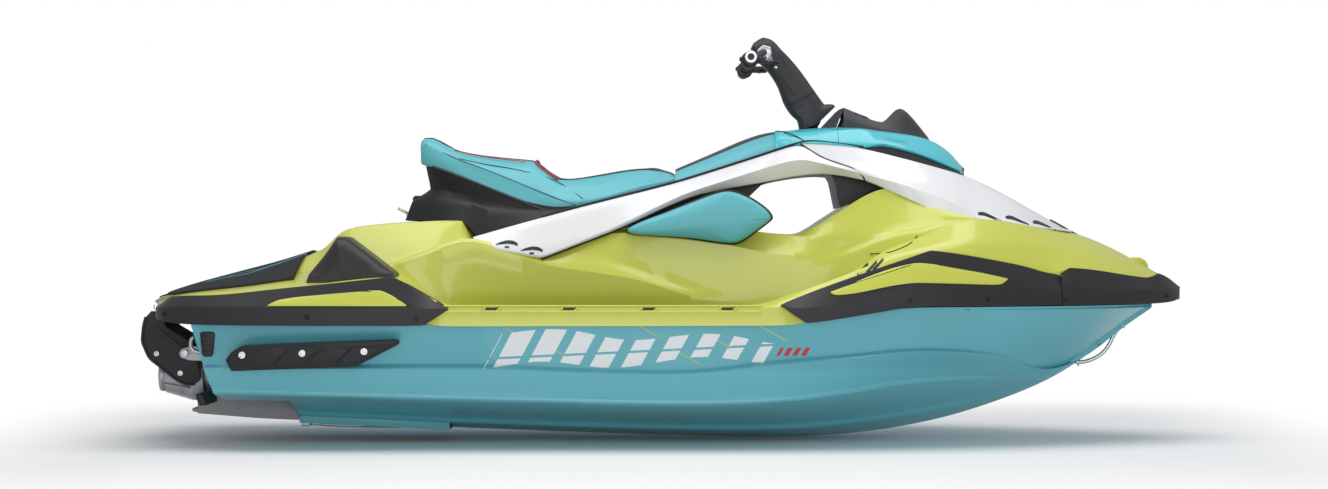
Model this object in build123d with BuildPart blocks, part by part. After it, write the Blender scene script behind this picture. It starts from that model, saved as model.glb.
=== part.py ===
"""A three-seat personal watercraft in separate pieces: hull, deck, seat, steering and jet drive.

Millimetres. +X is the bow, +Y port and +Z up. The origin is on the centreline at the waterline,
mid-length.
"""

import math
import os

from build123d import *

os.makedirs("parts", exist_ok=True)

# Driving dimensions
bond_z = 139  # where the hull moulding meets the deck moulding amidships
gunwale_z = 192
gap = 0.3  # between pieces that are screwed or laid on each other
wall = 25  # of the white side frames

shaft_z = -28  # jet drive's axis
pump_bore_r = 78
pump_wall = 8
tunnel_half = 128
transom_x = -1300

footwell_rear_x, footwell_front_x = -560, 520
footwell_inner_y, footwell_outer_y = 262, 478
footwell_floor_z = 90
pan = 10  # thickness of the footwell's floor
toe_ramp_z = 205  # top of the ramp at the footwell's front

steer_base = (449, 730)  # steering axis where it leaves the cowl, (x, z)
steer_lean = math.degrees(math.atan2(0.488, 0.873))
column_base = Location((steer_base[0], 0, steer_base[1]), (0, -steer_lean, 0))
neck_r, neck_hole_r = 36, 42
stem_r, stem_reach = 14, 120
running = 0.05  # radial play of a shaft in its bearing
grip_end_y = 372

locker_size = (230, 224, 400)
locker_place = (680, 0, 640)
locker_wall = 5

bucket_pivot = (-1433, 41)  # (x, z)
nozzle_pivot_x = -1405


def fair(*points):
    """A smooth curve through (x, value) points, as a function of x that stays level past its ends."""
    slopes = []
    for i in range(len(points)):
        before = points[max(i - 1, 0)]
        after = points[min(i + 1, len(points) - 1)]
        slopes.append((after[1] - before[1]) / (after[0] - before[0]))

    def value(x):
        if x <= points[0][0]:
            return points[0][1]
        for i in range(1, len(points)):
            (x0, v0), (x1, v1) = points[i - 1], points[i]
            if x <= x1:
                span = x1 - x0
                t = (x - x0) / span
                rise = (2 * t**3 - 3 * t**2 + 1) * v0 + (3 * t**2 - 2 * t**3) * v1
                lean = (t**3 - 2 * t**2 + t) * slopes[i - 1] + (t**3 - t**2) * slopes[i]
                return rise + lean * span
        return points[-1][1]

    return value


def outline(plane, *points):
    """Closed flat shape through points on a plane."""
    with BuildSketch(plane) as flat:
        with BuildLine():
            Polyline(*points, close=True)
        make_face()
    return flat.sketch


def section(x, *half):
    """Closed section across the craft at x, from (y, z) points up its port half."""
    starboard = [(-y, z) for y, z in reversed(half) if y > 0]
    return outline(Plane.YZ.offset(x), *half, *starboard)


def side_section(x, side, *points):
    """Closed section across the craft at x, wholly on one side: side is 1 to port, -1 to starboard."""
    turned = [(side * y, z) for y, z in points]
    return outline(Plane.YZ.offset(x), *(turned if side > 0 else reversed(turned)))


def profile(y, *points):
    """Closed side profile of (x, z) points at y; extruding it by a positive amount goes to starboard."""
    return outline(Plane.XZ.offset(-y), *points)


def trim(*others, rise=0):
    """Cuts other pieces out of the one being built; rise leaves a gap over what it rests on."""
    for other in others:
        add(Pos(0, 0, rise) * other.part, mode=Mode.SUBTRACT)


def save(piece, name):
    piece.part.label = name
    export_step(piece.part, f"parts/{name}.step")


SIDES = {"port": 1, "stbd": -1}

# Feature lines of the hull: height or half-breadth along the craft
keel_z = fair((-1360, -150), (-1087, -163), (-680, -187), (109, -214), (383, -219), (565, -208), (808, -169),
              (1020, -105), (1178, -38), (1296, 38), (1372, 101), (1480, 181))
knuckle_y = fair((-1360, 478), (200, 485), (537, 462), (724, 425), (920, 318), (1025, 222), (1142, 95), (1240, 26),
                 (1480, 3))
knuckle_z = fair((-1360, 10), (-472, 13), (-262, 0), (102, -6), (262, 18), (537, 40), (724, 57), (920, 47),
                 (1142, -5), (1240, 12), (1372, 110), (1480, 183))
chine_y = fair((-1360, 428), (0, 440), (261, 426), (537, 372), (820, 262), (1025, 132), (1142, 52), (1240, 12),
               (1480, 2))
chine_z = fair((-1360, -62), (-539, -82), (103, -96), (400, -84), (724, -40), (920, -32), (1025, -35), (1142, -34),
               (1240, 6), (1372, 105), (1480, 182))
sheer_y = fair((-1360, 462), (-1300, 488), (-900, 528), (-400, 538), (0, 538), (400, 524), (700, 476), (950, 402),
               (1142, 322), (1300, 228), (1400, 142), (1480, 40))
sheer_z = fair((-1360, bond_z), (400, bond_z + 3), (537, 163), (700, 187), (1480, 187))
rail_y = fair((-1541, 330), (-1400, 478), (-1300, 512), (-900, 555), (-400, 565), (0, 565), (400, 550), (800, 482),
              (1100, 372), (1350, 232), (1500, 112), (1562, 30))


def strake(x):
    """The lifting strake stands a little below the straight run from keel to chine."""
    share = 0.38
    drop = 14 * max(0.1, min(1, (900 - x) / 400))
    return (share * chine_y(x), keel_z(x) + share * (chine_z(x) - keel_z(x)) - drop)


# Engine: a plain block on the hull's bed, at its real place and size
engine_x0, engine_x1, engine_half = -330, 190, 150
engine_z0, engine_z1 = -110, 120
with BuildPart() as engine:
    with Locations(((engine_x0 + engine_x1) / 2, 0, engine_z0)):
        Box(engine_x1 - engine_x0, 2 * engine_half, engine_z1 - engine_z0, align=(Align.CENTER, Align.CENTER, Align.MIN))
save(engine, "engine")

# Hull moulding, with the jet drive's tunnel, the engine's bed and the two footwells cut in
with BuildPart() as hull:
    stations = (-1360, -1087, -680, -262, 102, 383, 600, 800, 950, 1080, 1180, 1280, 1380, 1480)
    loft(
        [
            section(x, (0, keel_z(x)), strake(x), (chine_y(x), chine_z(x)), (knuckle_y(x), knuckle_z(x)),
                    (sheer_y(x), sheer_z(x)))
            for x in stations
        ],
        ruled=True,
    )
    transom = profile(700, (-1500, 300), (transom_x - 56, 160), (transom_x - 2, 16), (transom_x + 6, -83),
                      (transom_x + 10, -300), (-1500, -300))
    extrude(transom, amount=1400, mode=Mode.SUBTRACT)
    tunnel = profile(tunnel_half, (-1400, 110), (-1120, 110), (-1040, 85), (-640, -150), (-640, -300), (-1400, -300))
    extrude(tunnel, amount=2 * tunnel_half, mode=Mode.SUBTRACT)
    with Locations(((engine_x0 + engine_x1) / 2, 0, engine_z0)):
        Box(engine_x1 - engine_x0 + 2, 2 * engine_half + 2, 400, align=(Align.CENTER, Align.CENTER, Align.MIN),
            mode=Mode.SUBTRACT)
    for side in SIDES.values():
        with Locations(((footwell_rear_x + footwell_front_x) / 2, side * (footwell_inner_y + footwell_outer_y) / 2,
                        footwell_floor_z - pan)):
            Box(footwell_front_x - footwell_rear_x, footwell_outer_y - footwell_inner_y, 200,
                align=(Align.CENTER, Align.CENTER, Align.MIN), mode=Mode.SUBTRACT)
    with Locations(Location((-700, 0, shaft_z), (0, 90, 0))):
        Cylinder(22, 800, mode=Mode.SUBTRACT)
save(hull, "hull")

# Pedestal: the raised spine between the footwells that carries the seat. Each station gives its foot,
# the lower crease, the upper edge of the band above it, the shoulder and the top edge.
with BuildPart() as pedestal:
    stations = (
        (-1040, 330, (331, 256), (318, 266), (298, 276), (215, 348)),
        (-960, 325, (329, 271), (314, 284), (292, 306), (222, 410)),
        (-805, 315, (323, 302), (309, 314), (288, 348), (225, 430)),
        (-690, 305, (314, 342), (301, 353), (262, 404), (224, 434)),
        (-573, 292, (305, 372), (294, 386), (256, 408), (220, 437)),
        (-345, 262, (297, 311), (281, 327), (252, 382), (192, 428)),
        (-70, 262, (289, 266), (265, 297), (248, 402), (190, 421)),
        (105, 262, (275, 211), (264, 238), (250, 385), (187, 417)),
        (184, 262, (268, 201), (262, 242), (252, 369), (186, 413)),
        (300, 262, (265, 207), (261, 264), (254, 344), (184, 405)),
        (421, 262, (269, 233), (264, 296), (258, 334), (182, 393)),
        (560, 280, (288, 300), (284, 338), (272, 362), (192, 400)),
    )
    loft([section(x, (foot_y, bond_z - 1), *rows) for x, foot_y, *rows in stations], ruled=True)
    trim(hull)
    with Locations(((engine_x0 + engine_x1) / 2, 0, 0)):
        Box(engine_x1 - engine_x0 + 2, 2 * engine_half + 2, 2 * bond_z, mode=Mode.SUBTRACT)
    for side in SIDES.values():
        with Locations((0, side * (footwell_inner_y + 100), 0)):
            Box(1800, 200, 2 * bond_z, mode=Mode.SUBTRACT)
save(pedestal, "pedestal")

# Rear platform: the crowned deck over the jet drive
platform_rise = fair((-1541, 200), (-1466, 229), (-1327, 268), (-1151, 314), (-1040, 350))
platform_edge = fair((-1541, 196), (-1400, 222), (-1200, 232), (-1040, 252))
platform_y = fair((-1541, 250), (-1490, 380), (-1400, 440), (-1200, 490), (-1040, 505))
mat_t = 8


def mat_edge(x):
    """Height of the platform under the mat's side edge."""
    share = (1 - 0.86) / (1 - 0.45)
    return platform_edge(x) + share * (platform_rise(x) - 14 - platform_edge(x))


with BuildPart() as rear_deck:
    loft(
        [
            section(x, (platform_y(x) - 30, under), (platform_y(x), platform_edge(x)),
                    (0.45 * platform_y(x), platform_rise(x) - 14), (0, platform_rise(x)))
            for x, under in ((-1530, 188), (-1490, 195), (-1400, 202), (-1345, 120), (-1200, 120), (-1040, 120))
        ],
        ruled=True,
    )
    trim(hull)
save(rear_deck, "rear_deck")

with BuildPart() as rear_mat:
    loft(
        [
            section(x, (0, platform_rise(x) - 4), (0.45 * platform_y(x), platform_rise(x) - 18),
                    (0.86 * platform_y(x), mat_edge(x) - 4), (0.86 * platform_y(x), mat_edge(x) + mat_t),
                    (0.45 * platform_y(x), platform_rise(x) - 14 + mat_t), (0, platform_rise(x) + mat_t))
            for x in (-1500, -1400, -1345, -1200, -1060)
        ],
        ruled=True,
    )
    trim(rear_deck, hull)
save(rear_mat, "rear_mat")

# Bow deck: from the footwells' toe ramps to the stem, under the cowls. Each station gives the bumper's
# seat, the light band, the ridge, the toe ramp, the foot of the swelling and its top.
hinge_x, hinge_z = 899, 593  # front edge of the hood, where its lid turns
hinge_half, knuckle_half = 18, 34
pin_bore_r = 4
with BuildPart() as bow_deck:
    stations = (
        (540, (516, 266), (490, 289), (462, 287), (390, 230), (276, 392), (210, 482)),
        (620, (500, 308), (472, 328), (438, 347), (366, 306), (284, 401), (200, 530)),
        (700, (482, 334), (456, 352), (404, 375), (350, 356), (294, 410), (195, 540)),
        (769, (466, 347), (440, 364), (376, 400), (340, 390), (302, 422), (190, 540)),
        (821, (454, 343), (426, 369), (352, 421), (328, 412), (300, 435), (175, 530)),
        (908, (424, 331), (390, 375), (314, 443), (302, 439), (286, 448), (150, 490)),
        (1060, (372, 306), (308, 369), (234, 424), (222, 427), (200, 435), (80, 448)),
        (1224, (262, 292), (204, 350), (94, 398), (84, 401), (64, 404), (28, 405)),
        (1415, (150, 270), (98, 308), (44, 318), (36, 320), (24, 322), (10, 323)),
        (1500, (90, 238), (48, 262), (20, 273), (16, 275), (11, 276), (5, 276.5)),
    )
    loft(
        [section(x, (min(rows[0][0], sheer_y(x)) - 40, sheer_z(x) - 6), *rows) for x, *rows in stations],
        ruled=True,
    )
    trim(hull, pedestal)
    # hinge bracket under the hood's front edge, bored for the pin
    bracket = profile(hinge_half, (hinge_x - 34, 440), (hinge_x - 10, hinge_z + 4), (hinge_x - 4, hinge_z + 9),
                      (hinge_x + 4, hinge_z + 9), (hinge_x + 9, hinge_z + 3), (hinge_x + 16, 440))
    extrude(bracket, amount=2 * hinge_half)
    with Locations(Location((hinge_x, 0, hinge_z), (90, 0, 0))):
        Cylinder(pin_bore_r, 4 * hinge_half, mode=Mode.SUBTRACT)
    with Locations(locker_place):
        Box(*locker_size, mode=Mode.SUBTRACT)
save(bow_deck, "bow_deck")

# Engine cover's black frame: carries the seat, bridges the leg window and rises into the console
frame_half = 150
with BuildPart() as seat_frame:
    side = profile(
        frame_half, (-560, 436), (-560, 450), (-314, 470), (27, 540), (290, 628), (400, 664), (560, 656), (700, 640),
        (700, 545),
        (524, 476), (507, 558), (492, 583), (458, 581), (358, 567), (294, 548), (249, 505), (306, 466), (290, 425),
        (0, 430),
    )
    extrude(side, amount=2 * frame_half)
    trim(pedestal, bow_deck)
    with Locations(locker_place):
        Box(*locker_size, mode=Mode.SUBTRACT)
    with Locations(column_base):
        Cylinder(stem_r + running, 2 * stem_reach + 4, mode=Mode.SUBTRACT)
save(seat_frame, "seat_frame")

# Seat base: the black moulding under the cushion's raised tail, with a ledge and a hollow along its side
with BuildPart() as seat_base:
    stations = (
        (-776, (104, 440), (100, 462), (84, 470), (70, 474)),
        (-748, (132, 440), (122, 486), (98, 506), (84, 512)),
        (-700, (168, 440), (146, 494), (118, 522), (112, 584)),
        (-640, (192, 440), (168, 496), (142, 524), (152, 566)),
        (-560, (204, 440), (188, 484), (166, 508), (170, 540)),
        (-450, (206, 440), (196, 464), (184, 482), (186, 500)),
        (-330, (204, 440), (198, 450), (192, 458), (190, 464)),
    )
    loft([section(x, (low[0] - 8, 400), low, ledge, hollow, top) for x, low, ledge, hollow, top in stations],
         ruled=True)
    trim(pedestal, seat_frame)
save(seat_base, "seat_base")

# Removable seat cushion with its raised tail
with BuildPart() as seat:
    stations = (
        (-728, (120, 604), (112, 672), (60, 681)),
        (-700, (140, 600), (128, 676), (70, 684)),
        (-628, (160, 575), (140, 632), (80, 644)),
        (-540, (178, 546), (160, 606), (100, 625)),
        (-442, (192, 504), (172, 575), (110, 618)),
        (-383, (196, 486), (172, 560), (110, 610)),
        (-316, (196, 470), (165, 535), (105, 564)),
        (-250, (190, 474), (160, 540), (100, 570)),
        (-49, (172, 525), (140, 580), (95, 600)),
        (26, (158, 548), (128, 575), (90, 590)),
    )
    loft([section(x, low, edge, top) for x, low, edge, top in stations], ruled=True)
    trim(seat_frame, seat_base, rise=gap)
save(seat, "seat")

# Fixed narrow front part of the seat
with BuildPart() as front_seat:
    stations = (
        (32, (152, 551), (126, 580), (88, 596)),
        (160, (150, 590), (122, 628), (84, 646)),
        (291, (152, 632), (120, 678), (80, 699)),
        (331, (152, 645), (118, 686), (78, 704)),
    )
    loft([section(x, (low[0] - 4, low[1] - 40), low, edge, top) for x, low, edge, top in stations], ruled=True)
    trim(seat_frame)
save(front_seat, "front_seat")

# White side frames: rear arches and front cowls, creased strips of constant wall along the craft
for name, side in SIDES.items():
    with BuildPart() as arch:
        strip = (
            (-560, (300, 362), (303, 370), (274, 389)),
            (-450, (300, 343), (303, 352), (262, 421)),
            (-359, (298, 327), (301, 336), (250, 446)),
            (-246, (275, 371), (279, 380), (236, 477)),
            (-121, (255, 418), (260, 427), (219, 509)),
            (50, (234, 501), (245, 513), (200, 551)),
            (198, (212, 537), (237, 561), (190, 600)),
            (289, (203, 551), (233, 590), (188, 628)),
            (404, (194, 573), (227, 620), (187, 667)),
            (465, (191, 579), (226, 607), (207, 626)),
            (550, (200, 569), (226, 586), (219, 597)),
            (584, (215, 560), (226, 573), (223, 577)),
        )
        loft(
            [
                side_section(x, side, low, crease, top, (top[0] - wall, top[1] - 5), (low[0] - wall, low[1] + 5))
                for x, low, crease, top in strip
            ],
            ruled=True,
        )
        trim(pedestal, seat_frame, front_seat)
    save(arch, f"arch_{name}")

    with BuildPart() as cowl:
        strip = (
            (412, (187, 656), (190, 663), (186, 668)),
            (475, (208, 618), (203, 645), (189, 669)),
            (560, (222, 590), (212, 626), (190, 660)),
            (600, (218, 556), (236, 570), (190, 652)),
            (708, (250, 507), (254, 543), (180, 628)),
            (785, (270, 470), (266, 514), (162, 606)),
            (821, (282, 438), (272, 500), (150, 596)),
            (912, (288, 434), (286, 446), (100, 566)),
            (1029, (240, 421), (238, 434), (66, 514)),
            (1104, (200, 411), (196, 426), (48, 471)),
            (1224, (90, 393), (86, 403), (26, 408)),
        )
        loft(
            [
                side_section(x, side, low, crease, top, (top[0] - wall, top[1] - 6), (low[0] - wall, low[1] - 6))
                for x, low, crease, top in strip
            ],
            ruled=True,
        )
        trim(bow_deck, seat_frame, arch, front_seat)
    save(cowl, f"cowl_{name}")

# Steering: a round neck that turns in the collar, and the leaning column cover above it
with BuildPart() as column:
    with Locations(column_base):
        Cylinder(neck_r, 90)
        Cylinder(stem_r, stem_reach, align=(Align.CENTER, Align.CENTER, Align.MAX))
    # rounded sections up the cover: distance along the steering axis, rear edge, front edge, breadth
    rungs = []
    for reach, rear, front, breadth in ((40, -38, 44, 88), (58, -43, 70, 92), (66, -43, 66, 84), (130, -33, 54, 72),
                                        (200, -38, 43, 68), (255, -50, 30, 76), (296, -47, 14, 70), (306, -36, 4, 56)):
        level = Plane(column_base * Location((0, 0, reach)))
        with BuildSketch(level) as rung:
            with Locations(((rear + front) / 2, 0)):
                RectangleRounded(front - rear, breadth, 16)
        rungs.append(rung.sketch)
    loft(rungs, ruled=True)
save(column, "column")

bar_r, grip_r = 11, 17
bar_clamp = (300, 946)
bar_end = (252, 911)
with BuildPart() as handlebar:
    with BuildLine():
        Polyline((bar_end[0], -grip_end_y, bar_end[1]), (bar_end[0], -190, bar_end[1]), (bar_clamp[0], -70, bar_clamp[1]),
                 (bar_clamp[0], 70, bar_clamp[1]), (bar_end[0], 190, bar_end[1]), (bar_end[0], grip_end_y, bar_end[1]))
    with BuildSketch(Plane((bar_end[0], -grip_end_y, bar_end[1]), z_dir=(0, 1, 0))):
        Circle(bar_r)
    sweep(transition=Transition.ROUND)
    trim(column)
save(handlebar, "handlebar")

for name, side in SIDES.items():
    with BuildPart() as grip:
        with Locations(Location((bar_end[0], side * (grip_end_y - 72), bar_end[1]), (90, 0, 0))):
            Cylinder(grip_r, 132)
            Cylinder(bar_r, 200, mode=Mode.SUBTRACT)
    save(grip, f"grip_{name}")

    with BuildPart() as control:
        with Locations(Location((bar_end[0], side * 213, bar_end[1]), (90, 0, 0))):
            Cylinder(24, 40)
            Cylinder(bar_r, 200, mode=Mode.SUBTRACT)
        lever = outline(Plane.XY.offset(bar_end[1] + 6), (bar_end[0] + 18, side * 200), (bar_end[0] + 70, side * 215),
                        (bar_end[0] + 58, side * 330), (bar_end[0] + 48, side * 330), (bar_end[0] + 54, side * 228),
                        (bar_end[0] + 18, side * 216))
        extrude(lever, amount=10)
        trim(handlebar)
    save(control, f"control_{name}")

# Hood: fixed collar round the steering column, and the lid of the front locker
hood_top = fair((331, 702), (413, 715), (543, 721), (674, 712), (805, 687), (870, 640), (902, 600))
hood_low = fair((331, 690), (404, 676), (592, 664), (732, 648), (820, 616), (902, 584))
hood_y = fair((331, 150), (404, 178), (592, 190), (732, 172), (830, 128), (902, 60))


def hood_section(x):
    """Shallow crowned section of the hood at x."""
    return section(x, (hood_y(x) - 25, hood_low(x) - 10), (hood_y(x), hood_low(x) + 4),
                   (0.6 * hood_y(x), hood_top(x) - 4), (0, hood_top(x)))


lid_x = 516  # where the collar ends and the lid begins
with BuildPart() as collar:
    loft([hood_section(x) for x in (335, 404, lid_x - 3)], ruled=True)
    with Locations(column_base):
        Cylinder(neck_hole_r, 400, mode=Mode.SUBTRACT)
    trim(front_seat, seat_frame)
save(collar, "collar")

hood_wall = 14
with BuildPart() as hood:
    loft([hood_section(x) for x in (lid_x + 3, 592, 700, 805, 870, 900)], ruled=True)
    # hollow beneath, so that the lid is a thin moulding with a deep rim
    hood_hollow = [
        section(x, (hood_y(x) - 25 - hood_wall, hood_low(x) - 40), (hood_y(x) - 2 * hood_wall, hood_low(x)),
                (0.6 * hood_y(x) - 8, hood_top(x) - 4 - hood_wall), (0, hood_top(x) - hood_wall))
        for x in (lid_x + 3 + hood_wall, 592, 700, 805, 850)
    ]
    loft(hood_hollow, ruled=True, mode=Mode.SUBTRACT)
    trim(seat_frame, rise=gap)
    # knuckles each side of the deck's bracket, with the pin fixed in them
    with Locations((hinge_x - 10, 0, hinge_z)):
        Box(70, 2 * hinge_half + 2 * running + 1, 80, mode=Mode.SUBTRACT)
    with Locations(Location((hinge_x, 0, hinge_z), (90, 0, 0))):
        for end in (1, -1):
            with Locations((0, 0, end * (hinge_half + 9))):
                Cylinder(9, 16)
        Cylinder(pin_bore_r - running, 2 * knuckle_half)
save(hood, "hood")

with BuildPart() as locker:
    with Locations(locker_place):
        Box(*locker_size)
    with Locations((locker_place[0], 0, locker_place[2] + locker_wall)):
        Box(locker_size[0] - 2 * locker_wall, locker_size[1] - 2 * locker_wall, locker_size[2], mode=Mode.SUBTRACT)
    under_lid = profile(200, (400, hood_low(592) - 6), (592, hood_low(592) - 12), (805, hood_low(805) - 12), (1000, 500),
                        (1000, 1000), (400, 1000))
    extrude(under_lid, amount=400, mode=Mode.SUBTRACT)
save(locker, "locker")

# Console: the instrument pod on the lid, low behind and peaked in front
with BuildPart() as console:
    stations = (
        (lid_x + 3, (64, 728), (44, 733)),
        (546, (78, 754), (48, 769)),
        (560, (84, 764), (50, 778)),
        (656, (90, 724), (44, 737)),
        (690, (86, 744), (38, 761)),
        (712, (80, 762), (30, 780)),
        (745, (70, 742), (28, 758)),
        (800, (42, 686), (14, 692)),
    )
    loft([section(x, (shoulder[0] + 6, hood_top(x) - 30), shoulder, top) for x, shoulder, top in stations],
         ruled=True)
    loft(hood_hollow, ruled=True, mode=Mode.SUBTRACT)
    trim(hood)
save(console, "console")

# Knee pads on the pedestal's sides
for name, side in SIDES.items():
    with BuildPart() as knee_pad:
        pad = profile(side * 250 + 35, (-118, 414), (-81, 392), (50, 390), (183, 371), (218, 371), (283, 416),
                      (312, 443), (303, 466), (249, 503), (203, 522), (144, 513))
        extrude(pad, amount=70)
        trim(pedestal, seat_frame)
    save(knee_pad, f"knee_pad_{name}")

bumper_low = fair((-1530, 150), (-1400, 137), (-640, 136), (362, 150), (709, 188), (1570, 190))
bumper_top = fair((-1530, 200), (-1400, 222), (-1096, 243), (-770, 276), (-736, 264), (-611, 190))

# Gunwales: the low outer walls of the footwells, and each footwell's floor
gunwale_top = fair((-760, gunwale_z + 76), (-611, gunwale_z), (245, gunwale_z), (332, gunwale_z + 20),
                   (450, gunwale_z + 58), (538, gunwale_z + 90))
for name, side in SIDES.items():
    with BuildPart() as gunwale:
        loft(
            [
                side_section(x, side, (footwell_outer_y, low), (rail_y(x) - inset, low),
                             (rail_y(x) - inset, gunwale_z - 8), (rail_y(x) - inset - 20, gunwale_top(x)),
                             (footwell_outer_y, gunwale_top(x) - 4))
                for x, inset, low in (
                    (-1040, 30, bond_z), (-760, 30, bond_z), (-640, 30, bond_z), (-625, 0, 136), (-400, 0, 136),
                    (0, 0, 136), (245, 0, 136), (345, 0, 136), (360, 30, sheer_z(360)), (450, 30, sheer_z(450)),
                    (540, 30, sheer_z(540)),
                )
            ],
            ruled=True,
        )
        trim(hull, rear_deck)
    save(gunwale, f"gunwale_{name}")

    with BuildPart() as footwell:
        middle_y = (footwell_inner_y + footwell_outer_y) / 2
        breadth = footwell_outer_y - footwell_inner_y
        floor = profile(side * middle_y + breadth / 2, (footwell_rear_x, footwell_floor_z - pan),
                        (footwell_front_x, footwell_floor_z - pan), (footwell_front_x, toe_ramp_z),
                        (footwell_front_x - 90, footwell_floor_z + 0.4 * (toe_ramp_z - footwell_floor_z)),
                        (footwell_front_x - 220, footwell_floor_z), (footwell_rear_x, footwell_floor_z))
        extrude(floor, amount=breadth)
        trim(hull, pedestal)
    save(footwell, f"footwell_{name}")

    # Bumpers: black rails over the bond line, thick at the quarters
    with BuildPart() as rear_bumper:
        loft(
            [
                side_section(x, side, (rail_y(x) - 60, bumper_low(x)), (rail_y(x), bumper_low(x)),
                             (rail_y(x), 184 if x > -700 else 190), (rail_y(x) - 32, bumper_top(x)),
                             (rail_y(x) - 60, bumper_top(x) - 4))
                for x in (-1400, -1300, -1096, -770, -730, -630)
            ],
            ruled=True,
        )
        loft(
            [
                side_section(-1400, side, (140, 137), (rail_y(-1400), 137), (rail_y(-1400), 190),
                             (rail_y(-1400) - 32, 222), (140, 222)),
                side_section(-1500, side, (140, 150), (400, 150), (400, 182), (378, 206), (140, 206)),
                side_section(-1541, side, (140, 165), (300, 165), (300, 182), (285, 198), (140, 198)),
            ],
            ruled=True,
        )
        trim(hull, rear_deck, rear_mat, gunwale)
    save(rear_bumper, f"rear_bumper_{name}")

    with BuildPart() as front_bumper:
        strip = (
            (352, 149, 180, 200),
            (468, 146, 196, 249),
            (600, 172, 226, 296),
            (740, 189, 247, 340),
            (790, 189, 248, 350),
            (849, 190, 245, 343),
            (937, 190, 240, 328),
            (1060, 190, 234, 307),
            (1158, 190, 230, 286),
        )
        loft(
            [
                side_section(x, side, (rail_y(x) - 48, low), (rail_y(x), low), (rail_y(x), crease),
                             (rail_y(x) - 34, top), (rail_y(x) - 48, top - 4))
                for x, low, crease, top in strip
            ],
            ruled=True,
        )
        trim(hull, bow_deck, gunwale)
    save(front_bumper, f"front_bumper_{name}")

with BuildPart() as bow_bumper:
    strip = (
        (1158.5, 190, 230, 300),
        (1258, 190, 230, 295),
        (1358, 190, 231, 281),
        (1453, 190, 232, 269),
        (1520, 190, 232, 276),
        (1566, 205, 232, 245),
    )
    loft(
        [
            section(x, (rail_y(x), low), (rail_y(x), crease), (0.9 * rail_y(x) - 6, top))
            for x, low, crease, top in strip
        ],
        ruled=True,
    )
    trim(hull, bow_deck)
save(bow_bumper, "bow_bumper")

for name, side in SIDES.items():
    # Chock at the back of the footwell, where a standing rider braces a foot
    with BuildPart() as chock:
        wedge = profile(side * 385 + 75, (-1029, 256), (-1020, 280), (-975, 340), (-941, 391), (-909, 389), (-771, 282),
                        (-771, 240), (-1029, 240))
        extrude(wedge, amount=150)
        # hollow in the sloping back face
        hollow = profile(side * 385 + 50, (-1030, 292), (-986, 346), (-958, 384), (-944, 376), (-966, 338), (-1000, 290))
        extrude(hollow, amount=100, mode=Mode.SUBTRACT)
        trim(rear_deck, pedestal, hull)
    save(chock, f"chock_{name}")

    # Sponson on the hull's side
    with BuildPart() as sponson:
        fin = profile(side * 520 + 60, (-1242, 40), (-1193, 80), (-760, 97), (-750, 85), (-873, 20), (-1225, 7))
        extrude(fin, amount=120)
        with Locations((-1000, side * 600, 50)):
            Box(600, 96, 200, mode=Mode.SUBTRACT)
        trim(hull)
    save(sponson, f"sponson_{name}")

# Ride plate and intake grate under the jet drive
plate_t = 14
plate_z = -136  # its top
with BuildPart() as ride_plate:
    flat = outline(Plane.XY.offset(plate_z - plate_t), (-1412, 118), (-1392, 150), (-1090, 160), (-1090, -160), (-1392, -150),
                   (-1412, -118))
    extrude(flat, amount=plate_t)
    # keels along its edges and a turned-up heel
    for side in SIDES.values():
        keel = profile(side * 128 + 5, (-1404, plate_z - 4), (-1390, plate_z - 24), (-1120, plate_z - 27),
                       (-1092, plate_z - 4))
        extrude(keel, amount=10)
    trim(hull)
save(ride_plate, "ride_plate")

with BuildPart() as intake_grate:
    with Locations((-880, 0, -166)):
        Box(400, 2 * tunnel_half, 12)
    with Locations((-880, 0, -166)):
        with GridLocations(0, 46, 1, 5):
            Box(350, 32, 40, mode=Mode.SUBTRACT)
    trim(hull)
save(intake_grate, "intake_grate")

# Jet drive: housing with stator vanes, impeller on its shaft, steering nozzle and reverse bucket
pump_front_x, stator_x, pump_rear_x, outlet_x = -1120, -1240, -1320, -1415
cone_x = -1366
outlet_r = 50
shaft_r = 13
pin_r = 6
with BuildPart() as pump:
    with BuildSketch(Plane.XZ) as half:
        with BuildLine():
            Polyline(
                (pump_front_x, shaft_z + pump_bore_r), (pump_front_x, shaft_z + pump_bore_r + 22),
                (pump_front_x - 12, shaft_z + pump_bore_r + 22), (pump_front_x - 12, shaft_z + pump_bore_r + pump_wall),
                (pump_rear_x, shaft_z + pump_bore_r + pump_wall), (cone_x, shaft_z + outlet_r + 10),
                (outlet_x, shaft_z + outlet_r + 7), (outlet_x, shaft_z + outlet_r), (cone_x, shaft_z + outlet_r + 2),
                (pump_rear_x, shaft_z + pump_bore_r), close=True,
            )
        make_face()
    revolve(axis=Axis((0, 0, shaft_z), (1, 0, 0)))
    with Locations(Location((stator_x - 30, 0, shaft_z), (0, 90, 0))):
        Cylinder(28, 60)
        with PolarLocations(0, 7):
            with Locations((52, 0, 0)):
                Box(60, 5, 60)
        Cylinder(shaft_r + running, 200, mode=Mode.SUBTRACT)
    with Locations((pump_front_x - 6, 0, (110 + plate_z) / 2)):
        Box(12, 2 * tunnel_half, 110 - plate_z)
    with Locations(Location((pump_front_x, 0, shaft_z), (0, 90, 0))):
        Cylinder(pump_bore_r, 60, mode=Mode.SUBTRACT)
    with Locations((nozzle_pivot_x, 0, shaft_z)):
        for end in (1, -1):
            with Locations((0, 0, end * (outlet_r + 18))):
                Cylinder(pin_r, 32)
save(pump, "pump")

shaft_rear_x = -1262
with BuildPart() as shaft:
    with Locations(Location(((engine_x0 - 5 + shaft_rear_x) / 2, 0, shaft_z), (0, 90, 0))):
        Cylinder(shaft_r, engine_x0 - 5 - shaft_rear_x)
save(shaft, "shaft")

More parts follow.
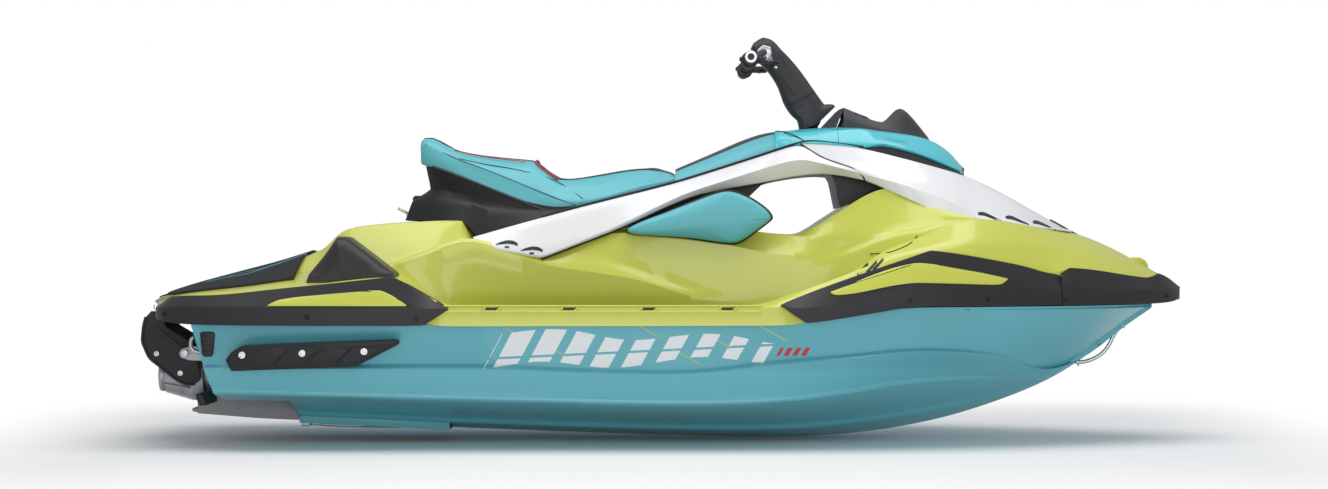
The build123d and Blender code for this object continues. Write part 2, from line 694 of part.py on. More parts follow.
blade_count, blade_pitch, blade_play = 3, 210, 1.5
with BuildPart() as impeller:
    with Locations(Location((-1180, 0, shaft_z), (0, 90, 0))):
        Cylinder(30, 70)
    # three blades, each twisted from a steep root to a flat tip, as a screw's pitch needs
    for blade in range(blade_count):
        ribs = []
        for radius in (20, 50, pump_bore_r + 6):
            pitch = math.degrees(math.atan2(blade_pitch, 2 * math.pi * radius))
            level = Plane(Location((-1180, 0, shaft_z), (0, 90, 0)) * Location((0, 0, 0), (0, 0, 360 / blade_count * blade))
                          * Location((radius, 0, 0), (90 - pitch, 0, 0)) * Location((0, 0, 0), (0, 90, 0)))
            with BuildSketch(level) as rib:
                Rectangle(5, 0.62 * 2 * radius + 24)
            ribs.append(rib.sketch)
        loft(ribs, ruled=True)
    with Locations(Location((-1180, 0, shaft_z), (0, 90, 0))):
        Cylinder(pump_bore_r - blade_play, 76, mode=Mode.INTERSECT)
    trim(shaft)
save(impeller, "impeller")

with BuildPart() as nozzle:
    with BuildSketch(Plane.XZ) as half:
        with BuildLine():
            Polyline((-1386, shaft_z + 70), (-1386, shaft_z + 78), (-1425, shaft_z + 78), (-1527, shaft_z + 44),
                     (-1527, shaft_z + 38), (-1425, shaft_z + 70), close=True)
        make_face()
    revolve(axis=Axis((0, 0, shaft_z), (1, 0, 0)))
    with Locations((nozzle_pivot_x, 0, shaft_z)):
        Cylinder(pin_r + running, 300, mode=Mode.SUBTRACT)
save(nozzle, "nozzle")

cheek_y, cheek_t = 104, 8
with BuildPart() as bucket:
    cheek = profile(cheek_y + cheek_t, (-1536, 168), (-1552, 150), (-1561, 104), (-1564, 77), (-1554, 54), (-1542, 26),
                    (-1516, 7), (-1498, -8), (-1469, -32), (-1451, -44), (-1418, -53), (-1394, -44), (-1387, -32),
                    (-1405, 60), (-1440, 90), (-1490, 120), (-1500, 160))
    extrude(cheek, amount=2 * (cheek_y + cheek_t))
    inside = profile(cheek_y, (-1500, 200), (-1528, 160), (-1547, 145), (-1557, 104), (-1560, 79), (-1600, 76),
                     (-1600, -100), (-1300, -100), (-1300, 200))
    extrude(inside, amount=2 * cheek_y, mode=Mode.SUBTRACT)
    with Locations(Location((bucket_pivot[0], 0, bucket_pivot[1]), (90, 0, 0))):
        Cylinder(8, 400, mode=Mode.SUBTRACT)
save(bucket, "bucket")

with BuildPart() as bucket_arms:
    for side in SIDES.values():
        arm = profile(side * 122 + 6, (-1306, 20), (-1420, 20), (-1446, 30), (-1450, 52), (-1420, 62), (-1306, 90))
        extrude(arm, amount=12)
        with Locations(Location((bucket_pivot[0], side * 116, bucket_pivot[1]), (90, 0, 0))):
            Cylinder(7.9, 30)
    trim(hull)
save(bucket_arms, "bucket_arms")

# Towing eyes at bow and stern
eye_r = 6
with BuildPart() as bow_eye:
    with BuildLine() as rod:
        FilletPolyline((1392, 0, 128), (1352, 0, 62), (1290, 0, 14), (1252, 0, 12), radius=(55, 45))
    with BuildSketch(Plane(rod.line @ 0, z_dir=rod.line % 0)):
        Circle(eye_r)
    sweep()
    trim(hull)
save(bow_eye, "bow_eye")

with BuildPart() as stern_eye:
    tab = profile(8 - 250, (-1352, 40), (-1385, 50), (-1395, 75), (-1385, 98), (-1352, 108), (-1300, 108), (-1300, 40))
    extrude(tab, amount=16)
    with Locations(Location((-1372, -250, 74), (90, 0, 0))):
        Cylinder(11, 60, mode=Mode.SUBTRACT)
    trim(hull)
save(stern_eye, "stern_eye")
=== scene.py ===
"""Looks for the personal watercraft: gelcoat hull and deck, vinyl seat, rubber bumpers and jet drive."""

import math

import bmesh
import bpy
import numpy as np
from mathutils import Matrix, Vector
from mathutils.bvhtree import BVHTree
from mathutils.kdtree import KDTree


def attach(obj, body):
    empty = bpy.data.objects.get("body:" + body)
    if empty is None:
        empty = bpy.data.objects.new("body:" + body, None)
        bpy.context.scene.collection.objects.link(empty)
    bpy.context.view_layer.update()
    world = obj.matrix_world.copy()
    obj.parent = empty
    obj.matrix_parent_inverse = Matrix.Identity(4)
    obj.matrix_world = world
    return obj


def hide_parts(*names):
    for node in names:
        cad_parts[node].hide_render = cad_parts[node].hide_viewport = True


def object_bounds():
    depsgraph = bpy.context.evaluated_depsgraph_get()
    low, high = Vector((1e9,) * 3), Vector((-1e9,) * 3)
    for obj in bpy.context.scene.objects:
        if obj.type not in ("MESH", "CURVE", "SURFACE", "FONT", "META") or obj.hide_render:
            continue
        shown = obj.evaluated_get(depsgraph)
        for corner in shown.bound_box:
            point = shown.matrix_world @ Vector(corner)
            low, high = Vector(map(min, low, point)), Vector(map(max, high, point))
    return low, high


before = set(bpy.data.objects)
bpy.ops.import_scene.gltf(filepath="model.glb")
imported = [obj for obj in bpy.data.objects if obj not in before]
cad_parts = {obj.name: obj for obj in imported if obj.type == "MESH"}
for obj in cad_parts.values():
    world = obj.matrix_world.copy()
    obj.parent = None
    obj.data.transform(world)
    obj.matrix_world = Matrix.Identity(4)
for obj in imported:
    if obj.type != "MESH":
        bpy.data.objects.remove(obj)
cad_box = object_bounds()


# ------------------------------------------------------------------ hull
# The hull is a gelcoat moulding laid up in one mould: V bottom with a lifting
# strake, hard chine, a knuckle along the side, and a leaning transom with the tunnel.


class Value:
    """A shader socket that takes part in plain arithmetic."""

    def __init__(self, shader, socket):
        self.shader = shader
        self.socket = socket

    def math(self, operation, *terms):
        return self.shader.node("ShaderNodeMath", dict(enumerate(terms)), operation=operation)

    def __add__(self, other):
        return self.math("ADD", self, other)

    def __sub__(self, other):
        return self.math("SUBTRACT", self, other)

    def __rsub__(self, other):
        return self.math("SUBTRACT", other, self)

    def __mul__(self, other):
        return self.math("MULTIPLY", self, other)

    def __truediv__(self, other):
        return self.math("DIVIDE", self, other)

    def __gt__(self, other):
        return self.math("GREATER_THAN", self, other)

    def __lt__(self, other):
        return self.math("LESS_THAN", self, other)

    def __abs__(self):
        return self.math("ABSOLUTE", self)

    def wave(self):
        return self.math("SINE", self)

    def step(self, low, high):
        """0 below low, 1 above high, and smooth between."""
        return self.shader.node("ShaderNodeMapRange", {0: self, 1: low, 2: high}, interpolation_type="SMOOTHSTEP")

    __radd__ = __add__
    __rmul__ = __mul__


class Finish:
    """One material's nodes, ending in a principled surface."""

    def __init__(self, name, color, roughness, metallic=0.0, coat=0.0):
        self.material = bpy.data.materials.new(name)
        self.material.use_nodes = True
        self.tree = self.material.node_tree
        self.surface = self.tree.nodes["Principled BSDF"].inputs
        self.surface["Base Color"].default_value = (*color, 1)
        self.surface["Roughness"].default_value = roughness
        self.surface["Metallic"].default_value = metallic
        self.surface["Coat Weight"].default_value = coat
        self.surface["Coat Roughness"].default_value = 0.05

    def join(self, value, socket):
        if isinstance(value, Value):
            self.tree.links.new(value.socket, socket)
        else:
            socket.default_value = value

    def node(self, kind, inputs=None, output=0, **settings):
        made = self.tree.nodes.new(kind)
        for key, value in settings.items():
            setattr(made, key, value)
        for key, value in (inputs or {}).items():
            self.join(value, made.inputs[key])
        return Value(self, made.outputs[output])

    def place(self, stretch=(1, 1, 1)):
        """The point on the surface in metres, stretched along each axis."""
        point = self.node("ShaderNodeTexCoord", output="Object")
        return self.node("ShaderNodeVectorMath", {0: point, 1: stretch}, operation="MULTIPLY")

    def axis(self, letter):
        return self.node("ShaderNodeSeparateXYZ", {0: self.place()}, output=letter)

    def noise(self, scale, detail=2.0, stretch=(1, 1, 1)):
        return self.node("ShaderNodeTexNoise", {"Vector": self.place(stretch), "Scale": scale, "Detail": detail})

    def mix(self, factor, first, second):
        first, second = (v if isinstance(v, Value) else (*v, 1) for v in (first, second))
        return self.node("ShaderNodeMix", {0: factor, 6: first, 7: second}, output=2, data_type="RGBA")

    def paint(self, color=None, roughness=None, coat=None):
        for name, value in (("Base Color", color), ("Roughness", roughness), ("Coat Weight", coat)):
            if value is not None:
                self.join(value, self.surface[name])

    def bump(self, height, depth, strength=1.0):
        """A relief of the given depth in metres."""
        relief = self.node("ShaderNodeBump", {"Height": height, "Strength": strength, "Distance": depth})
        self.join(relief, self.surface["Normal"])
        return self.material


def gelcoat(name, color, roughness=0.2, graphic=None):
    """Gloss moulded skin: faint orange peel, a very slight change of tone and rubbed patches."""
    finish = Finish(name, color, roughness, coat=0.4)
    shade = finish.mix(finish.noise(1.5, 2.0), [c * 0.97 for c in color], color)
    # the graphic may also paint shade, as the hull's does on its flank
    if graphic:
        shade = graphic(finish, shade)
    finish.paint(shade, roughness + 0.04 * finish.noise(5.0, 3.0))
    return finish.bump(finish.noise(210.0, 1.0), 0.0003, 0.12)


def run(stations, *points):
    """A fair line through (x, y, z) points in millimetres, sampled at the stations' x."""
    known = np.array(points, float)
    along = known[:, 0]
    lean = np.diff(known[:, 1:], axis=0) / np.diff(along)[:, None]
    before, after = lean[:-1], lean[1:]
    total = np.where(np.abs(before + after) < 1e-9, 1, before + after)
    slope = np.vstack([lean[:1], np.where(before * after > 0, 2 * before * after / total, 0), lean[-1:]])
    line = []
    for x in stations:
        at = min(max(x, along[0]), along[-1])
        i = int(min(max(np.searchsorted(along, at) - 1, 0), len(along) - 2))
        span = along[i + 1] - along[i]
        t = (at - along[i]) / span
        y, z = ((2 * t**3 - 3 * t**2 + 1) * known[i, 1:] + (3 * t**2 - 2 * t**3) * known[i + 1, 1:]
                + (t**3 - 2 * t**2 + t) * slope[i] * span + (t**3 - t**2) * slope[i + 1] * span)
        line.append((x, y, z))
    return line


def finished(piece):
    """The piece with its modifiers made real."""
    bpy.context.view_layer.update()
    mesh = bpy.data.meshes.new_from_object(piece.evaluated_get(bpy.context.evaluated_depsgraph_get()))
    piece.modifiers.clear()
    piece.data = mesh
    return piece


def put(name, mesh, body, slot=None, replaces=()):
    """Links a mesh as a piece that rides on a body."""
    piece = bpy.data.objects.new(name, mesh)
    bpy.context.scene.collection.objects.link(piece)
    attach(piece, body)
    if replaces:
        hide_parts(*replaces)
    return piece


def notch(mesh, low, high):
    """Takes the part of an open skin that lies in a box, given by two corners in millimetres, cleanly out."""
    low, high = Vector(low) / 1000, Vector(high) / 1000
    form = bmesh.new()
    form.from_mesh(mesh)
    for axis in range(3):
        for corner in (low, high):
            normal = Vector([float(i == axis) for i in range(3)])
            bmesh.ops.bisect_plane(form, geom=[*form.verts, *form.edges, *form.faces], dist=1e-6, plane_co=corner,
                                   plane_no=normal)
    inside = [f for f in form.faces if all(low[i] < f.calc_center_median()[i] < high[i] for i in range(3))]
    bmesh.ops.delete(form, geom=inside, context="FACES")
    form.to_mesh(mesh)
    form.free()


def skin(name, lines, material, body="craft", sharp=(), cross=(), tints=(), mirror=False, loop=False,
         ends=False, level=2, thick=0.0, facing=None, slot=None, replaces=(), notches=(), crisp=24):
    """A subdivided skin over lines of points in millimetres, running along the craft.

    sharp gives {line: crease} and cross {column: crease}; tints gives {line: material} for the strip that
    starts there; mirror adds the other half; loop closes the section and its ends, ends only the ends;
    thick is its wall; notches are boxes cut out of it before it gets its wall; edges that turn more than
    crisp degrees shade sharply.
    """
    sharp, cross, tints = dict(sharp), dict(cross), dict(tints)
    if mirror:
        last = 2 * len(lines) - 2
        lines = [*lines, *([(x, -y, z) for x, y, z in line] for line in reversed(lines[:-1]))]
        sharp |= {last - i: crease for i, crease in sharp.items()}
        tints |= {last - 1 - i: tint for i, tint in tints.items()}
    rows, count = len(lines), len(lines[0])
    paints = [material, *dict.fromkeys(tints.values())]
    form = bmesh.new()
    crease = form.edges.layers.float.new("crease_edge")
    grid = [[form.verts.new(Vector(p) / 1000) for p in line] for line in lines]
    for i in range(rows if loop else rows - 1):
        j = (i + 1) % rows
        for k in range(count - 1):
            face = form.faces.new((grid[i][k], grid[i][k + 1], grid[j][k + 1], grid[j][k]))
            face.material_index = paints.index(tints[i]) if i in tints else 0
    if loop:
        cross = {0: 1, count - 1: 1} | cross
    if loop or ends:
        form.faces.new([line[0] for line in grid])
        form.faces.new([line[-1] for line in reversed(grid)])
    place = {v: (i, k) for i, line in enumerate(grid) for k, v in enumerate(line)}
    for edge in form.edges:
        (i, k), (j, _) = (place[v] for v in edge.verts)
        edge[crease] = sharp.get(i, 0) if i == j else cross.get(k, 0)
    bmesh.ops.remove_doubles(form, verts=form.verts, dist=2e-5)
    bmesh.ops.recalc_face_normals(form, faces=form.faces)
    if facing:
        if sum(f.normal.dot(Vector(facing)) * f.calc_area() for f in form.faces) < 0:
            bmesh.ops.reverse_faces(form, faces=form.faces)
    mesh = bpy.data.meshes.new(name)
    form.to_mesh(mesh)
    form.free()
    for paint in paints:
        mesh.materials.append(paint)
    mesh.shade_smooth()
    piece = put(name, mesh, body, slot, replaces)
    if level:
        smooth = piece.modifiers.new("smooth", "SUBSURF")
        smooth.levels = smooth.render_levels = level
        smooth.boundary_smooth = "PRESERVE_CORNERS"
        finished(piece)
    for low, high in notches:
        notch(piece.data, low, high)
    if thick:
        wall = piece.modifiers.new("wall", "SOLIDIFY")
        wall.thickness = thick / 1000
        wall.offset = -1
    finished(piece)
    if crisp:
        piece.data.set_sharp_from_angle(angle=math.radians(crisp))
    return piece


sides_of_craft = (("stbd", -1), ("port", 1))


def to_side(side, points, out=0, up=0):
    """Points given for the port side, moved outboard and up, then taken to one side."""
    return [(x, side * (y + out), z + up) for x, y, z in points]


def upright(y, points):
    """An outline of (x, z) points standing at a distance from the centreline."""
    return [(x, y, z) for x, z in points]


def pair(name, lines, material, replaces=(), **how):
    """The same skin to starboard and to port."""
    made = {}
    for word, side in sides_of_craft:
        turned = [to_side(side, line) for line in lines]
        nodes = [f"{node}_{word}" for node in replaces]
        made[side] = skin(f"{name}_{word}", turned, material, replaces=nodes, **how)
    return made


def hull_graphic_and_shade(finish, color):
    """Painted shade on the flank above the knuckle, where it faces down, with a slanted panel, and a plain graphic.

    The graphic is slanted white bars that narrow forward, split by a tilted line, three red bars ahead of
    them and thin lime slashes across.
    """
    x, z = finish.axis("X"), finish.axis("Z")
    # painted shade: the flank above the knuckle is darkened, where it faces down under the gunwale
    flank = (z - 0.006).step(-0.006, 0.012) * (1.05 - x).step(0.0, 0.25)
    color = finish.mix(flank * 0.55, color, (0.085, 0.36, 0.43))
    slant = x + 0.42 * z
    panel = (slant + 0.47).step(0.0, 0.004) * (0.42 - slant).step(0.0, 0.3) * flank
    color = finish.mix(panel * 0.35, color, (0.16, 0.47, 0.53))
    for start, low in ((-0.44, 0.125), (-0.30, 0.06), (-0.06, 0.13), (0.05, 0.055), (0.16, 0.09), (0.30, 0.12)):
        along = x - start
        slash = (abs(z - low + 0.55 * along) < 0.0016) * (abs(along) < 0.05)
        color = finish.mix(slash * 0.8, color, (0.5, 0.56, 0.05))
    lean = x - 0.55 * (z - 0.068)
    rise = abs(z - 0.068 - 0.012 * (lean * 14.0).wave())
    bars = (((lean * 70.0).wave() > 0.9 * lean - 0.25) * (abs(lean + 0.09) < 0.395) * (rise < 0.037 - 0.03 * lean)
            * (abs(z - 0.066 - 0.05 * lean) > 0.0035))
    color = finish.mix(bars, color, (0.78, 0.8, 0.82))
    red = ((lean * 250.0).wave() > -0.3) * (abs(lean - 0.375) < 0.045) * (abs(z - 0.061) < 0.012)
    return finish.mix(red, color, (0.5, 0.015, 0.03))


hull_x = (-1300, -1250, -1100, -900, -680, -470, -262, -80, 102, 262, 400, 537, 640, 724, 820, 900, 980, 1060,
          1142, 1210, 1290, 1372, 1430, 1474)
keel = run(hull_x, (-1360, 0, -150), (-1087, 0, -163), (-680, 0, -187), (109, 0, -214), (383, 0, -218),
           (565, 0, -208), (808, 0, -169), (1020, 0, -105), (1178, 0, -38), (1296, 0, 38), (1372, 0, 101),
           (1480, 0, 181))
chine = run(hull_x, (-1360, 428, -62), (-539, 440, -82), (103, 438, -96), (400, 405, -84), (724, 300, -40),
            (920, 190, -32), (1025, 132, -35), (1142, 52, -34), (1240, 12, 6), (1372, 5, 105), (1480, 2, 182))
knuckle = run(hull_x, (-1360, 478, 10), (-472, 485, 13), (-262, 485, 0), (102, 485, -6), (262, 482, 18),
              (537, 462, 40), (724, 425, 57), (920, 318, 47), (1025, 222, 30), (1142, 95, -5), (1240, 26, 12),
              (1372, 8, 110), (1480, 3, 183))
sheer = run(hull_x, (-1360, 462, 139), (-1300, 488, 139), (-900, 528, 139), (-400, 538, 139), (0, 538, 139),
            (400, 524, 142), (537, 505, 163), (700, 476, 187), (950, 402, 187), (1142, 322, 187), (1300, 228, 187),
            (1400, 142, 187), (1480, 40, 187))
# how much of the step in the moulding is left towards the bow
fade = [min(1, max(0.1, (1150 - x) / 300)) for x in hull_x]
strake = [(x, 0.38 * c[1], k[2] + 0.38 * (c[2] - k[2]) - 14 * f) for x, k, c, f in zip(hull_x, keel, chine, fade)]
strake_root = [(x, y + 12 * f, z + 17 * f) for (x, y, z), f in zip(strake, fade)]
chine_flat = [(x, y + 16 * f, z + 3 * f) for (x, y, z), f in zip(chine, fade)]
chine_top = [(x, y + 13 * f, z + 14 * f) for (x, y, z), f in zip(chine, fade)]
ledge = [(x, y + 8 * f, z + 2) for (x, y, z), f in zip(knuckle, fade)]
ledge_top = [(x, y - 4 * f, z + 12 * f) for (x, y, z), f in zip(knuckle, fade)]
flank = [(x, (a[1] + b[1]) / 2 + 3, (a[2] + b[2]) / 2) for x, a, b in zip(hull_x, ledge_top, sheer)]
lip = [(x, y - 25 if y > 60 else y * 0.5, z) for x, y, z in sheer]
hull_lines = [lip, sheer, flank, ledge_top, ledge, chine_top, chine_flat, strake_root, strake, keel]


def transom_x(z):
    """The transom leans aft towards the deck."""
    return -1315 - 0.28 * (z - 16)


for line in hull_lines:
    line[0] = (transom_x(line[0][2]), *line[0][1:])

hull_color = (0.125, 0.455, 0.53)
hull_cyan = gelcoat("hull_cyan", hull_color, 0.24, hull_graphic_and_shade)
tunnel_half, tunnel_roof = 128, 110
# aft of here the bottom is stepped up to a flat, and the ride plate stands under it
step_x, flat_z = -1088, -88
mouth_x = -640
skin("hull_shell", hull_lines, hull_cyan, mirror=True, thick=9, facing=(0, 0, -1), slot="hull_gelcoat",
     replaces=("hull",), sharp={1: 1, 3: 0.9, 4: 0.95, 5: 0.9, 6: 0.95, 7: 0.85, 8: 0.95, 9: 0.95},
     notches=[((-1420, -tunnel_half, -300), (mouth_x, tunnel_half, 0)),
              ((-1420, -425, -300), (step_x, 425, flat_z))])


def sheet_mesh(name, faces, material):
    """A mesh of flat faces, each a list of points in millimetres."""
    form = bmesh.new()
    for face in faces:
        form.faces.new([form.verts.new(Vector(p) / 1000) for p in face])
    bmesh.ops.remove_doubles(form, verts=form.verts, dist=2e-5)
    bmesh.ops.recalc_face_normals(form, faces=form.faces)
    mesh = bpy.data.meshes.new(name)
    form.to_mesh(mesh)
    form.free()
    mesh.materials.append(material)
    return mesh


def plate(name, outline, depth, material, body="craft", slot=None, edge=1.0, replaces=()):
    """A plate: an outline of (x, y, z) points in millimetres, pushed by depth (dx, dy, dz), with rounded edges."""
    form = bmesh.new()
    face = form.faces.new([form.verts.new(Vector(p) / 1000) for p in outline])
    far = bmesh.ops.extrude_face_region(form, geom=[face])["geom"]
    bmesh.ops.translate(form, vec=Vector(depth) / 1000, verts=[v for v in far if isinstance(v, bmesh.types.BMVert)])
    bmesh.ops.recalc_face_normals(form, faces=form.faces)
    mesh = bpy.data.meshes.new(name)
    form.to_mesh(mesh)
    form.free()
    mesh.materials.append(material)
    piece = put(name, mesh, body, slot, replaces)
    if edge:
        rounded = piece.modifiers.new("rounded", "BEVEL")
        rounded.width = edge / 1000
        rounded.segments = 3
        rounded.limit_method = "ANGLE"
        rounded.angle_limit = math.radians(25)
        finished(piece)
        piece.data.shade_smooth()
        piece.data.set_sharp_from_angle(angle=math.radians(40))
    return piece


def bottom_at(x, z=None):
    """The bottom's section at x from the chine in, down to a height if one is given."""
    section = [run((x,), *line)[0] for line in (chine, strake_root, strake, keel)]
    for high, low in zip(section, section[1:]):
        if z is not None and low[2] < z < high[2]:
            share = (high[2] - z) / (high[2] - low[2])
            return (x, high[1] + share * (low[1] - high[1]) - 1, z)
    return section


# the transom, either side of the tunnel and over it, the flat under the stern and the step ahead of it
aft_x = transom_x(flat_z)
stern_faces = []
for side in (-1, 1):
    rim = [line[0] for line in hull_lines if line[0][2] > flat_z] + [bottom_at(aft_x, flat_z)]
    rim += [(transom_x(z), tunnel_half, z) for z in (flat_z, tunnel_roof, 139)]
    flat = [bottom_at(x, flat_z) for x in (aft_x, -1200, step_x)]
    flat += [(step_x, tunnel_half, flat_z), (aft_x, tunnel_half, flat_z)]
    keel_z = bottom_at(step_x)[3][2] + 0.5 * (bottom_at(step_x)[2][2] - bottom_at(step_x)[3][2])
    step = [bottom_at(step_x, flat_z), *[p for p in bottom_at(step_x) if p[2] < flat_z and p[1] > tunnel_half],
            (step_x, tunnel_half, keel_z), (step_x, tunnel_half, flat_z)]
    stern_faces += [to_side(side, face) for face in (rim, flat, step)]
stern_faces.append([(transom_x(z), y, z) for y, z in ((-tunnel_half, 139), (tunnel_half, 139),
                                                      (tunnel_half, tunnel_roof), (-tunnel_half, tunnel_roof))])
put("transom", sheet_mesh("transom", stern_faces, hull_cyan), "craft", "hull_gelcoat")
for side in (-1, 1):
    # the intake's mouth is let into a flat either side of the keel
    plate(f"intake_flat_{side + 1}", [(step_x, side * tunnel_half, -120), (mouth_x, side * tunnel_half, -120),
                                      (mouth_x, side * tunnel_half, -187), (step_x, side * tunnel_half, -164)],
          (0, side * 18, 0), hull_cyan, edge=2, slot="hull_gelcoat")

tunnel_line = ((-1345, tunnel_roof), (-1120, tunnel_roof), (step_x, 105), (-1040, 85), (mouth_x, -150),
               (mouth_x, -186))
tunnel_faces = []
for (x0, z0), (x1, z1) in zip(tunnel_line, tunnel_line[1:]):
    tunnel_faces.append([(x0, tunnel_half, z0), (x1, tunnel_half, z1), (x1, -tunnel_half, z1),
                         (x0, -tunnel_half, z0)])
    for y in (-tunnel_half, tunnel_half):
        low = flat_z if x1 <= step_x else -155
        tunnel_faces.append([(x0, y, z0), (x1, y, z1), (x1, y, min(z1, low)), (x0, y, low)])
# black for the tunnel's liner and dark joints, and painted shade where it fills gaps, pockets, a recess and a groove
black_and_painted_shade = Finish("black_and_painted_shade", (0.018, 0.018, 0.02), 0.5)
black_and_painted_shade.paint(roughness=0.45 + 0.2 * black_and_painted_shade.noise(30.0, 4.0))
put("tunnel", sheet_mesh("tunnel", tunnel_faces, black_and_painted_shade.bump(black_and_painted_shade.noise(300.0), 0.0004, 0.3)),
    "craft")

# ------------------------------------------------------------------ deck
# The deck is a second gelcoat moulding bonded to the hull along the rail: aft
# platform, raised spine under the seat, footwells, gunwales and foredeck in one piece.

deck_lime = gelcoat("deck_lime", (0.6, 0.63, 0.085), 0.26)
deck_x = (-1541, -1500, -1440, -1345, -1250, -1151, -1060, -1000, -960, -900, -850, -805, -765, -735, -690, -640,
          -596, -556, -530, -500, -450, -400, -345, -290, -225, -150, -70, 20, 105, 184, 245, 300, 334, 380, 421,
          470, 530, 590, 640, 700, 769, 821, 870, 912, 980, 1060, 1121, 1185, 1224, 1268, 1320, 1370, 1415, 1453,
          1486, 1520, 1548, 1566)
rail = run(deck_x, (-1541, 30, 0), (-1500, 210, 0), (-1470, 330, 0), (-1440, 405, 0), (-1400, 465, 0),
           (-1300, 512, 0), (-900, 555, 0), (-400, 565, 0), (0, 565, 0), (400, 550, 0), (800, 482, 0),
           (1100, 372, 0), (1350, 232, 0), (1500, 112, 0), (1562, 30, 0))
# the lime rail stands out to full breadth only between the bumpers
inset = run(deck_x, (-1541, 30, 0), (-700, 30, 0), (-655, 6, 0), (355, 6, 0), (400, 30, 0), (1566, 30, 0))
rail_low = [(x, max(r[1] - i[1], 2), z) for (x, _, z), r, i in
            zip(run(deck_x, (-1541, 0, 176), (-1400, 0, 152), (-700, 0, 146), (-640, 0, 136), (362, 0, 138),
                    (440, 0, 156), (709, 0, 196), (1566, 0, 200)), rail, inset)]
rail_high = [(x, max(r[1] - i[1], 2), z) for (x, _, z), r, i in
             zip(run(deck_x, (-1541, 0, 180), (-1400, 0, 190), (-800, 0, 200), (-640, 0, 190), (245, 0, 190),
                     (362, 0, 191), (468, 0, 200), (740, 0, 240), (1160, 0, 230), (1566, 0, 225)), rail, inset)]
rail_top = [(x, max(r[1] - 24 - 0.4 * i[1], 3), z) for (x, _, z), r, i in
            zip(run(deck_x, (-1541, 0, 190), (-1466, 0, 212), (-1400, 0, 219), (-1271, 0, 219), (-1096, 0, 240),
                    (-770, 0, 275), (-736, 0, 262), (-640, 0, 202), (-611, 0, 195), (245, 0, 195), (332, 0, 206),
                    (468, 0, 246), (740, 0, 336), (773, 0, 347), (849, 0, 339), (937, 0, 324), (1060, 0, 303),
                    (1121, 0, 281), (1185, 0, 296), (1260, 0, 291), (1358, 0, 275), (1453, 0, 262), (1486, 0, 272),
                    (1548, 0, 244), (1566, 0, 232)), rail, inset)]

platform_x = (-1541, -1500, -1440, -1345, -1250, -1151, -1060)
platform_rise = run(platform_x, (-1541, 0, 200), (-1466, 0, 229), (-1327, 0, 268), (-1151, 0, 314), (-1040, 0, 350))
platform_edge = run(platform_x, (-1541, 25, 198), (-1500, 195, 206), (-1440, 385, 216), (-1380, 445, 224),
                    (-1200, 490, 232), (-1040, 505, 250))


crown, crown_share = 14, 0.45


def on_platform(share, rises, edges, lift=0):
    """A line on the aft platform at a share of its half breadth: gently crowned, then down to its edge."""
    line = []
    for (x, _, rise), (_, breadth, edge) in zip(rises, edges):
        if share < crown_share:
            drop = crown * share / crown_share
        else:
            drop = crown + (rise - crown - edge) * (share - crown_share) / (1 - crown_share)
        line.append((x, breadth * share, rise - drop + lift))
    return line


def deck_line(share, *points):
    """A line along the deck that starts on the aft platform at a share of its half breadth."""
    return run(deck_x, *on_platform(share, platform_rise, platform_edge), *points)


